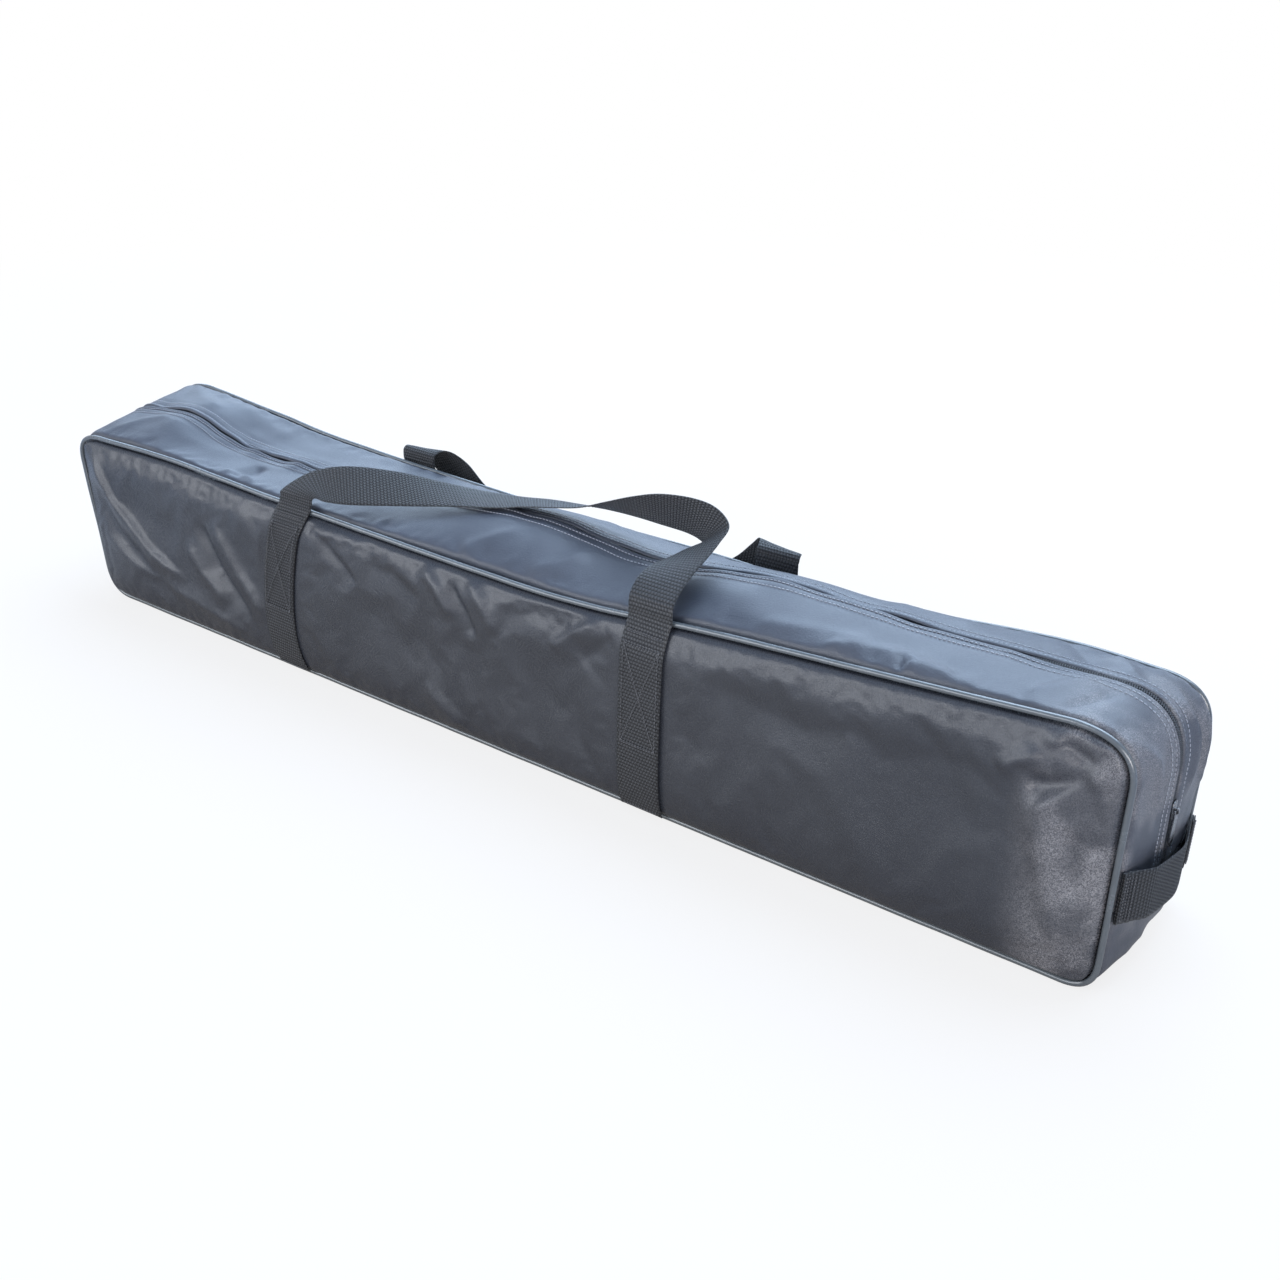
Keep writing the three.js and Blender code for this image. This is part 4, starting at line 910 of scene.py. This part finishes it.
def webbing_piece(name, places, edges):
    """Webbing along a line of places, with the way of its edge at each. Its cross ribs are in its surface,
    and its two selvedges are thinner."""
    reached = lengths_along(places)
    rows = 4 * max(1, round(reached[-1] / rib_pitch))
    shape, lay = new_cloth(rows, webbing_columns)
    flat_place = {}
    for vert in shape.verts:
        row, b = round((vert.co.x + 0.5) * rows), vert.co.y
        after, share = find_along(reached, reached[-1] * row / rows)
        edge = edges[after - 1].lerp(edges[after], share).normalized()
        out = edge.cross((places[after] - places[after - 1]).normalized()).normalized()
        height = -rib_height * math.cos(row * math.pi / 2) * (1 - mound(0.5 - abs(b), selvedge))
        flat_place[vert] = (row * rib_pitch / 4, b * webbing_width)
        vert.co = places[after - 1].lerp(places[after], share) + edge * b * webbing_width + out * height
    lay_cloth(shape, lay, flat_place.get)
    bmesh.ops.recalc_face_normals(shape, faces=shape.faces)
    bmesh.ops.solidify(shape, geom=shape.faces[:], thickness=webbing_thickness / 2)
    return new_piece(name, shape)


# The two loops are read off at stations: the share of the way between the roots, how far back and how far up
# in widths of webbing, and the way of the webbing's edge.
front_loop = [
    (0, 0, 0, -1, 0, 0), (0.003, 0, 0.1, -1, 0, 0), (0.023, 0.1, 0.25, -0.95, 0.22, 0.12),
    (0.062, 0.26, 0.37, -0.76, 0.46, 0.42), (0.132, 0.48, 0.47, -0.58, 0.56, 0.58),
    (0.23, 0.98, 0.47, -0.66, 0.58, 0.45), (0.328, 1.45, 0.43, -0.78, 0.58, 0.2),
    (0.426, 1.85, 0.4, -0.78, 0.62, 0), (0.501, 2.03, 0.47, -0.68, 0.71, -0.15),
    (0.574, 2.12, 0.57, -0.62, 0.75, -0.2), (0.646, 2.18, 0.67, -0.58, 0.75, -0.3),
    (0.718, 2.22, 0.82, -0.46, 0.73, -0.5), (0.786, 2.25, 0.95, -0.35, 0.62, -0.7),
    (0.855, 2.25, 1.05, -0.27, 0.45, -0.85), (0.928, 2.22, 1.1, -0.33, 0.3, -0.88),
    (0.979, 2.12, 1.08, -0.5, 0.2, -0.83), (1.013, 1.9, 1, -0.72, 0.2, -0.6),
    (1.01, 1.52, 0.88, -0.88, 0.2, -0.42), (1.003, 1.13, 0.75, -0.95, 0.1, -0.28),
    (0.997, 0.73, 0.65, -1, 0, -0.12), (0.995, 0.37, 0.5, -1, 0, 0),
    (0.997, 0.08, 0.28, -1, 0, 0), (1, 0, 0.1, -1, 0, 0), (1, 0, 0, -1, 0, 0)]
half_back_loop = [
    (1, 0, 0, 1, 0, 0), (1, 0.025, 0.09, 1, 0, 0), (0.995, 0.125, 0.15, 1, 0, 0),
    (0.98, 0.28, 0.12, 0.99, 0, -0.12), (0.945, 0.45, -0.05, 0.96, 0, -0.28),
    (0.885, 0.63, -0.4, 0.88, 0, -0.45), (0.79, 0.7, -0.9, 0.78, 0, -0.62),
    (0.65, 0.75, -1.38, 0.6, 0, -0.8), (0.47, 0.78, -1.75, 0.36, 0, -0.93),
    (0.25, 0.78, -1.97, 0.16, 0, -0.99), (0, 0.78, -2.05, 0, 0, -1)]
back_loop = [(-share, behind, above, -x, y, z) for share, behind, above, x, y, z in half_back_loop]
back_loop += half_back_loop[-2::-1]
loop_steps = 16


def loop_path(stations, start_x, span, way):
    """The middle line and edge ways of a slack loop."""
    places, edges = [], []
    for share, behind, above, *edge in stations:
        places.append(Vector((start_x + share * span, way * root_y + behind * webbing_width,
                              root_top + above * webbing_width)))
        edges.append(Vector(edge))
    return smooth_line(places, loop_steps), [edge.normalized() for edge in smooth_line(edges, loop_steps)]


run_stitches = bmesh.new()
box_side, box_foot, box_head, foot_row = webbing_width / 2 - 3.5 * mm, 66 * mm, 152 * mm, 8 * mm
tack_gap, tack_above = 1.6 * mm, 10 * mm
tack_pitch, tack_length, box_pitch, box_length = 2.6 * mm, 2.5 * mm, 3.2 * mm, 2.7 * mm
heavy_radius, row_steps = 0.5 * mm, 40


def sew_run(places, edges, way):
    """The boxed cross and the bar tacks of one run, in heavy thread on the outer face."""
    def on_run(across, height):
        near = min(range(len(places)), key=lambda k: abs(places[k].z - height))
        lift = edges[near].cross(places[min(near + 1, run_steps)] - places[max(near - 1, 0)]).normalized()
        if lift.y * way < 0:
            lift = -lift
        return places[near] + edges[near] * across + lift * (webbing_thickness / 2 + thread_lift), lift

    def row(start, end, pitch, length):
        spots = [on_run(*(a + (b - a) * k / row_steps for a, b in zip(start, end)))
                 for k in range(row_steps + 1)]
        stitch_row(run_stitches, [place for place, _ in spots], [lift for _, lift in spots],
                   pitch=pitch, length=length, radius=heavy_radius)

    for offset in (0, tack_gap):
        for height in (box_foot + offset, box_head - offset, box_head + tack_above - offset):
            row((-box_side, height), (box_side, height), tack_pitch, tack_length)
    for foot_side, head_side in ((-1, -1), (1, 1), (-1, 1), (1, -1)):
        row((foot_side * box_side, box_foot), (head_side * box_side, box_head), box_pitch, box_length)
    row((-box_side, foot_row), (box_side, foot_row), tack_pitch, tack_length)


webbing_pieces = []
for node_name, end_name, way, root_x, foot_lean, waist_lean in runs:
    places, edges = run_path(outlines[end_name], way, root_x, foot_lean, waist_lean)
    sew_run(places, edges, way)
    run = webbing_piece(f"{node_name}_webbing", places, edges)
    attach(run, "bag")
    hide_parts(node_name)
    webbing_pieces.append(run)
handle_stitches = new_piece("handle_stitches", run_stitches)
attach(handle_stitches, "bag")

front_line = loop_path(front_loop, front_roots[0], front_roots[1] - front_roots[0], -1)
front_grip = webbing_piece("front_handle_webbing", *front_line)
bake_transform(front_grip)
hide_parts("front_handle_loop")
back_line = loop_path(back_loop, back_middle, back_reach, 1)
back_grip = webbing_piece("back_handle_webbing", *back_line)
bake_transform(back_grip)
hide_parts("back_handle_loop")
webbing_pieces += [front_grip, back_grip]

# ---- End handles ----
# A short length of webbing crosses each end of the bag, bowed out for the fingers. Its ends are turned under,
# tacked down with close rows of thread and caught in the piping seams.
end_bow, end_height, end_slope, end_shoulder = 9 * mm, 66 * mm, 12 * mm, 0.45
end_clear, end_steps, turned_steps, turned_lift = 0.6 * mm, 160, 15, 1.2 * mm
end_reach = 1 - 0.3 * mm / band_half
tack_places, tack_lift, tack_share, tack_steps = (2, 5, 8, 11), 0.6 * mm, 0.88, 20
end_rows = bmesh.new()


def on_end(end_name, z, share):
    """How far along x the end of the bag lies, at a height and a share of the way across."""
    at = {name: outline[end_name](z).x for name, outline in outlines.items()}
    mean = (at["front"] + at["back"]) / 2
    return mean + (at["back"] - at["front"]) * share / 2 + (at["middle"] - mean) * (1 - share ** 2)


for end_name, way in (("right", 1), ("left", -1)):
    places = []
    for step in range(end_steps + 1):
        share = end_reach * (2 * step / end_steps - 1)
        rise = min(1.0, (1 - abs(share)) / (end_shoulder if share < 0 else 1.0))
        out = end_clear + end_bow * ease(rise) + webbing_thickness / 2
        centre = end_height - end_slope * share
        places.append(Vector((on_end(end_name, centre, share) + way * out, share * band_half, centre)))
    edge = Vector((way * 0.012, 0, 1)).normalized()
    grip = webbing_piece(f"end_handle_{end_name}_webbing", places, [edge] * len(places))
    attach(grip, "bag")
    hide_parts(f"end_handle_{end_name}")
    webbing_pieces.append(grip)
    for side_name, turned_in in (("near", places[:turned_steps]), ("far", places[-turned_steps:])):
        lifted = [place + Vector((way * turned_lift, 0, 0)) for place in turned_in]
        hem = webbing_piece(f"end_handle_{end_name}_hem_{side_name}", lifted, [edge] * turned_steps)
        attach(hem, "bag")
        webbing_pieces.append(hem)
        for k in tack_places:
            spot = lifted[k] if side_name == "near" else lifted[-1 - k]
            column = [spot + edge * (webbing_width * (n / tack_steps - 0.5) * tack_share)
                      + Vector((way * tack_lift, 0, 0)) for n in range(tack_steps + 1)]
            stitch_row(end_rows, column, [Vector((way, 0, 0))] * len(column), pitch=2.4 * mm, length=2.1 * mm)
end_stitches = new_piece("end_handle_stitches", end_rows)
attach(end_stitches, "bag")


# ---- Cloth finishes ----
# The bag is a plain-woven nylon with a satin coating. The yarn crossings catch the light one by one, the
# coating's tone and gloss vary in soft patches, and near the bag's right end a painted sheen, with painted
# glints at the yarn crossings, lifts its colour toward pale grey.
def scaled(tree, value, by, plus=0.0):
    """A value times a number, and a number or another value added."""
    return combine(tree, "MULTIPLY_ADD", value, by, plus)


def new_group(name, inputs, outputs):
    """An empty shader group with named inputs and outputs, and its two end nodes."""
    group = bpy.data.node_groups.new(name, "ShaderNodeTree")
    for label, kind, value in inputs:
        group.interface.new_socket(name=label, in_out="INPUT", socket_type=kind).default_value = value
    for label, kind in outputs:
        group.interface.new_socket(name=label, in_out="OUTPUT", socket_type=kind)
    return group, group.nodes.new("NodeGroupInput").outputs, group.nodes.new("NodeGroupOutput").inputs


weave, given, result = new_group(
    "plain_weave", [("Lay", "NodeSocketVector", (0, 0, 0)), ("Pitch", "NodeSocketFloat", 0.001)],
    [("Height", "NodeSocketFloat"), ("Glint", "NodeSocketFloat")])
across = put(weave, "ShaderNodeSeparateXYZ", {0: given["Lay"]}).outputs
warp, weft = (combine(weave, "DIVIDE", across[way], given["Pitch"]) for way in (0, 1))
warp_wave, weft_wave = (combine(weave, "SINE", scaled(weave, yarn, 2 * math.pi)) for yarn in (warp, weft))
checks = combine(weave, "MULTIPLY", warp_wave, weft_wave)
yarns = combine(weave, "ADD", combine(weave, "ABSOLUTE", warp_wave), combine(weave, "ABSOLUTE", weft_wave))
cell = put(weave, "ShaderNodeCombineXYZ", {
    way: combine(weave, "FLOOR", scaled(weave, yarn, 2.0)) for way, yarn in enumerate((warp, weft))})
scatter = put(weave, "ShaderNodeTexWhiteNoise", {"Vector": cell.outputs[0]}, noise_dimensions="2D")
height = scaled(weave, yarns, 0.25, scaled(weave, checks, 0.5))
weave.links.new(scaled(weave, scatter.outputs["Value"], 0.5, height), result["Height"])
weave.links.new(scatter.outputs["Value"], result["Glint"])

tone, given, result = new_group(
    "worn_tone", [("Place", "NodeSocketVector", (0, 0, 0)), ("Deep", "NodeSocketColor", (0, 0, 0, 1)),
                  ("Pale", "NodeSocketColor", (1, 1, 1, 1)), ("Patch", "NodeSocketFloat", 12.0)],
    [("Color", "NodeSocketColor"), ("Patches", "NodeSocketFloat")])
patches = put(tone, "ShaderNodeTexNoise", {"Vector": given["Place"], "Scale": given["Patch"], "Detail": 5.0,
                                           "Roughness": 0.6})
speck = put(tone, "ShaderNodeTexNoise", {"Vector": given["Place"], "Scale": 420.0, "Detail": 2.0})
blotches = scaled(tone, speck.outputs["Fac"], 0.2, scaled(tone, patches.outputs["Fac"], 0.8))
share = remap(tone, blotches, 0.3, 0.7)
tone.links.new(mix_tints(tone, share, given["Deep"], given["Pale"]), result["Color"])
tone.links.new(share, result["Patches"])


def new_finish(name, **plain):
    """A material with one Principled shader, whose plain values are set on its own sockets."""
    finish = bpy.data.materials.new(name)
    finish.use_nodes = True
    tree = finish.node_tree
    shader = tree.nodes["Principled BSDF"]
    for label, value in plain.items():
        shader.inputs[label.replace("_", " ")].default_value = value
    places = put(tree, "ShaderNodeTexCoord").outputs
    return finish, tree, shader, places


def use_group(tree, group, inputs):
    """A shader group set into a tree, as its outputs."""
    return put(tree, "ShaderNodeGroup", inputs, node_tree=group).outputs


def use_tone(tree, places, deep, pale, patch):
    """The worn tone between two colours, in patches of a given fineness."""
    return use_group(tree, tone, {
        "Place": places["Object"], "Deep": (*deep, 1), "Pale": (*pale, 1), "Patch": patch})


def bump_of(tree, shader, height, distance, strength=1.0):
    """Gives a shader a fine relief of a given height."""
    relief = put(tree, "ShaderNodeBump", {"Height": height, "Distance": distance, "Strength": strength})
    tree.links.new(relief.outputs[0], shader.inputs["Normal"])


# Painted sheen: near the bag's right end the cloth's colour is lifted toward pale grey in soft clouds,
# brightest at the yarn crossings as painted glints. The same mask makes the bump stronger there.
bloom, given, result = new_group(
    "painted_end_sheen", [("Place", "NodeSocketVector", (0, 0, 0)), ("Cloth", "NodeSocketColor", (0, 0, 0, 1)),
                    ("Glint", "NodeSocketFloat", 0.5)],
    [("Color", "NodeSocketColor"), ("Sheen Mask", "NodeSocketFloat")])
end_way = put(bloom, "ShaderNodeSeparateXYZ", {0: given["Place"]}).outputs[0]
near_end = remap(bloom, end_way, 0.455, 0.505, curve="SMOOTHSTEP")
clouds = put(bloom, "ShaderNodeTexNoise", {"Vector": given["Place"], "Scale": 21.0, "Detail": 2.0})
clouds = remap(bloom, clouds.outputs["Fac"], 0.40, 0.58, curve="SMOOTHSTEP")
sheen_share = combine(bloom, "MULTIPLY", near_end, scaled(bloom, clouds, 0.8, 0.2))
painted_glints = scaled(bloom, combine(bloom, "POWER", given["Glint"], 2.0), 1.1, 0.2)
sheened_cloth = mix_tints(bloom, combine(bloom, "MULTIPLY", sheen_share, painted_glints), given["Cloth"], (0.29, 0.28, 0.29, 1))
bloom.links.new(sheened_cloth, result["Color"])
bloom.links.new(sheen_share, result["Sheen Mask"])


def nylon(name, deep, pale, rough, coat):
    """Coated nylon cloth in one colour, with a painted sheen near the bag's right end."""
    finish, tree, shader, places = new_finish(name, Specular_IOR_Level=0.75, Coat_Weight=coat,
                                              Coat_Roughness=0.26)
    tones = use_tone(tree, places, deep, pale, 14.0)
    yarn = use_group(tree, weave, {"Lay": places["UV"], "Pitch": 0.0011})
    ends = use_group(tree, bloom, {
        "Place": places["Object"], "Cloth": tones["Color"], "Glint": yarn["Glint"]})
    tree.links.new(ends["Color"], shader.inputs["Base Color"])
    gloss = scaled(tree, tones["Patches"], 0.08, scaled(tree, yarn["Glint"], 0.16, rough - 0.12))
    tree.links.new(gloss, shader.inputs["Roughness"])
    crackle = put(tree, "ShaderNodeTexNoise", {
        "Vector": places["UV"], "Scale": 640.0, "Detail": 2.0, "Roughness": 0.7}).outputs["Fac"]
    relief = combine(tree, "MULTIPLY", scaled(tree, yarn["Height"], 0.3, crackle),
                     scaled(tree, ends["Sheen Mask"], 0.8, 1.0))
    bump_of(tree, shader, relief, 0.0007, 0.5)
    return finish


panel_nylon = nylon("panel_nylon", (0.032, 0.035, 0.045), (0.041, 0.045, 0.056), 0.31, 0.34)
# Painted light: the band round the bag is the same nylon as the panels, coloured lighter and bluer to stand
# in for the sky light that falls on it.
lit_band_nylon = nylon("lit_band_nylon", (0.052, 0.060, 0.082), (0.065, 0.074, 0.098), 0.40, 0.14)


def dress(finish, *pieces):
    """Gives a finish to some pieces."""
    for piece in pieces:
        piece.data.materials.append(finish)


dress(panel_nylon, front_cloth, back_cloth)
dress(lit_band_nylon, front_strip, back_strip, under_strip)


def toned_finish(name, deep, pale, patch, rough, spread, **plain):
    """A finish of one body colour, with patches in its tone and its gloss."""
    finish, tree, shader, places = new_finish(name, **plain)
    tones = use_tone(tree, places, deep, pale, patch)
    tree.links.new(tones["Color"], shader.inputs["Base Color"])
    tree.links.new(scaled(tree, tones["Patches"], spread, rough), shader.inputs["Roughness"])
    return finish, tree, shader, places, tones


# The piping's sleeve is smooth grey vinyl, a little scuffed in patches.
piping_vinyl, tree, shader, places, tones = toned_finish(
    "piping_vinyl", (0.088, 0.10, 0.11), (0.13, 0.145, 0.156), 40.0, 0.2, 0.12,
    Specular_IOR_Level=0.8, Coat_Weight=0.9, Coat_Roughness=0.13)
bump_of(tree, shader, tones["Patches"], 0.00015, 0.5)
dress(piping_vinyl, *piping_cords)

# Webbing is ribbed polypropylene: the ribs are in its shape, the yarns that cross them are in its bump, and a
# painted highlight lightens the rib crests and raised yarns.
webbing_yarn, tree, shader, places, tones = toned_finish(
    "ribbed_webbing", (0.004, 0.004, 0.005), (0.009, 0.009, 0.011), 30.0, 0.42, 0.15,
    Specular_IOR_Level=0.55, Sheen_Weight=0.1, Sheen_Roughness=0.4)
yarn_pitch = 2.8 * mm
lay = put(tree, "ShaderNodeSeparateXYZ", {0: places["UV"]}).outputs
ribs = combine(tree, "COSINE", scaled(tree, lay[0], 2 * math.pi / rib_pitch))
every_other = combine(tree, "SIGN", combine(tree, "SINE", scaled(tree, lay[0], math.pi / rib_pitch)))
step_over = scaled(tree, every_other, math.pi / 2)
cords = combine(tree, "SINE", scaled(tree, lay[1], 2 * math.pi / yarn_pitch, step_over))
yarn_height = scaled(tree, cords, 0.5, 0.5)
# Painted highlight and shade: rib crests and raised yarns are coloured paler, and the grooves stay
# near-black.
painted_crest_light = combine(tree, "MULTIPLY", scaled(tree, ribs, -0.5, 0.5), scaled(tree, yarn_height, 0.7, 0.3))
tree.links.new(mix_tints(tree, painted_crest_light, tones["Color"], (0.09, 0.093, 0.10, 1)), shader.inputs["Base Color"])
bump_of(tree, shader, yarn_height, 0.0006, 0.9)
dress(webbing_yarn, *webbing_pieces)

# Thread, zip tape, coil and cast metal.
thread = toned_finish("thread", (0.30, 0.31, 0.35), (0.48, 0.50, 0.55), 300.0, 0.4, 0.2,
                      Specular_IOR_Level=0.5)[0]
dark_thread = toned_finish("dark_thread", (0.06, 0.06, 0.066), (0.17, 0.17, 0.18), 300.0, 0.4, 0.2,
                           Specular_IOR_Level=0.5)[0]
coil_nylon = toned_finish("coil_nylon", (0.035, 0.036, 0.042), (0.075, 0.077, 0.086), 120.0, 0.25, 0.15,
                          Specular_IOR_Level=0.6)[0]
tape_weave, tree, shader, places = new_finish("zip_tape_weave", Specular_IOR_Level=0.3)
yarn = use_group(tree, weave, {"Lay": places["UV"], "Pitch": 0.0008})
tones = use_tone(tree, places, (0.008, 0.008, 0.011), (0.020, 0.021, 0.026), 60.0)
tree.links.new(tones["Color"], shader.inputs["Base Color"])
tree.links.new(scaled(tree, yarn["Glint"], 0.2, 0.65), shader.inputs["Roughness"])
bump_of(tree, shader, yarn["Height"], 0.0002)
dress(thread, hem_stitches)
dress(dark_thread, handle_stitches, end_stitches)
dress(coil_nylon, *coils)
dress(tape_weave, *tapes)


def grained_finish(name, deep, pale, patch, rough, spread, relief, **plain):
    """A toned finish with a fine grain."""
    finish, tree, shader, places, _ = toned_finish(name, deep, pale, patch, rough, spread, **plain)
    grain = put(tree, "ShaderNodeTexNoise", {"Vector": places["Object"], "Scale": 900.0, "Detail": 3.0})
    bump_of(tree, shader, grain.outputs["Fac"], relief, 0.6)
    return finish


nickel = grained_finish("dark_nickel", (0.26, 0.26, 0.27), (0.42, 0.42, 0.43), 220.0, 0.2, 0.15, 0.00003,
                        Metallic=1.0)
dress(nickel, slider, pull_tab, *stops)

# All of it lies packed inside the closed bag.
kit_finishes = {
    "steel_tube": grained_finish("powder_coat", (0.014, 0.015, 0.017), (0.03, 0.031, 0.034), 50.0, 0.38, 0.15,
                                 0.00008),
    "plug_plastic": grained_finish("moulded_plastic", (0.014, 0.014, 0.016), (0.028, 0.028, 0.03), 60.0, 0.45,
                                   0.2, 0.00005),
    "foot_rubber": grained_finish("foot_rubber", (0.010, 0.010, 0.011), (0.022, 0.022, 0.023), 60.0, 0.72,
                                  0.15, 0.00015)}
for part in frame["record"]["subparts"]:
    if part["material_slot"] in kit_finishes:
        held = nodes[part["node"]].data.materials
        held.clear()
        held.append(kit_finishes[part["material_slot"]])

# The net is wound up flat on itself over its whole length, with a white tape along its upper edge. Two straps
# close round the roll, each with its hooked end pressed down over its start.
roll_turns, steps_round, roll_pitch, roll_start = 30, 40, 1.2 * mm, 0.5 * mm
roll_radius, roll_flat, roll_middle = 39 * mm, 23 * mm, 111.33 * mm
net_edge, net_seam, tape_edge, net_length = -381 * mm, 330.7 * mm, 381 * mm, 6.7
net_thickness, top_tape_thickness = 0.8 * mm, 0.9 * mm


def roll_place(x, turn, depth):
    """A point of the flattened roll: along it, round it, and at a depth below its outside."""
    loose = 0.5 + 0.5 * noise.noise(Vector((x * 9, math.cos(turn), math.sin(turn))))
    radius = roll_radius - depth - 0.9 * mm * loose * ease((roll_radius - depth) / (30 * mm))
    flat = min(max(3 * math.cos(turn), -1.0), 1.0) * roll_flat
    return Vector((x, flat + radius * math.cos(turn), roll_middle + radius * math.sin(turn)))


def wound_sheet(name, start, end, columns, line, thickness):
    """A strip wound along a line of turns and depths, with its lay measured along the strip."""
    steps = len(line) - 1
    wound = lengths_along([roll_place(0, turn, depth) for turn, depth in line])
    shape, lay = new_cloth(columns, steps)
    flat_place = {}
    for vert in shape.verts:
        x = start + (end - start) * (vert.co.x + 0.5)
        step = round((vert.co.y + 0.5) * steps)
        flat_place[vert] = (wound[step], x)
        vert.co = roll_place(x, *line[step])
    lay_cloth(shape, lay, flat_place.get)
    bmesh.ops.reverse_faces(shape, faces=shape.faces)
    strip = new_piece(name, shape)
    thicken(strip, thickness, 0)
    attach(strip, "bag")
    return strip


winding = [(2 * math.pi * step / steps_round - math.pi / 2, roll_pitch * step / steps_round + roll_start)
           for step in range(roll_turns * steps_round + 1)]
net_mesh = wound_sheet("net_roll_mesh", net_edge, net_seam, 16, winding, net_thickness)
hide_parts("net_roll")
top_tape = wound_sheet("net_top_tape_cloth", net_seam + 0.3 * mm, tape_edge, 3, winding, top_tape_thickness)
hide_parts("net_top_tape")

strap_half, strap_thickness, strap_spread, strap_steps = 12.5 * mm, 1.4 * mm, 150 * mm, 96
strap_start, strap_lap, strap_height, lap_rise, lap_climb = math.pi / 2 - 0.4, 1.1, 1.0 * mm, 1.7 * mm, 0.2
strap_line = []
for step in range(strap_steps + 1):
    turn = (2 * math.pi + strap_lap) * step / strap_steps
    climb = ease((turn - 2 * math.pi + lap_climb) / lap_climb)
    strap_line.append((strap_start + turn, -strap_height - lap_rise * climb))
straps = []
for side_name, middle in (("left", -strap_spread), ("right", strap_spread)):
    strap = wound_sheet(f"net_strap_{side_name}_webbing", middle - strap_half, middle + strap_half, 8,
                        strap_line, strap_thickness)
    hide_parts(f"net_strap_{side_name}")
    straps.append(strap)

knotless, tree, shader, places, tones = toned_finish(
    "knotless_net", (0.012, 0.012, 0.014), (0.04, 0.04, 0.043), 160.0, 0.6, 0.2, Specular_IOR_Level=0.4)
half_mesh, twine_half, twine_edge = 9.5 * mm, 0.8 * mm, 1.3 * mm
lay = put(tree, "ShaderNodeSeparateXYZ", {0: places["UV"]}).outputs
nearest = combine(tree, "MINIMUM", *(combine(tree, "PINGPONG", lay[way], half_mesh) for way in (0, 1)))
twine = remap(tree, nearest, twine_half, twine_edge, 1.0, 0.0, curve="SMOOTHSTEP")
# Painted shade: the openings between the twines are coloured near-black, for the shade inside the roll seen
# through the mesh.
net_with_painted_gaps = mix_tints(tree, twine, (0.005, 0.005, 0.006, 1), tones["Color"])
tree.links.new(net_with_painted_gaps, shader.inputs["Base Color"])
bump_of(tree, shader, twine, 0.0008)
dress(knotless, net_mesh)
dress(grained_finish("white_tape", (0.68, 0.68, 0.65), (0.80, 0.80, 0.78), 40.0, 0.6, 0.15, 0.0001), top_tape)
dress(grained_finish("hook_strap", (0.012, 0.012, 0.014), (0.04, 0.04, 0.044), 200.0, 0.75, 0.15, 0.0004),
      *straps)
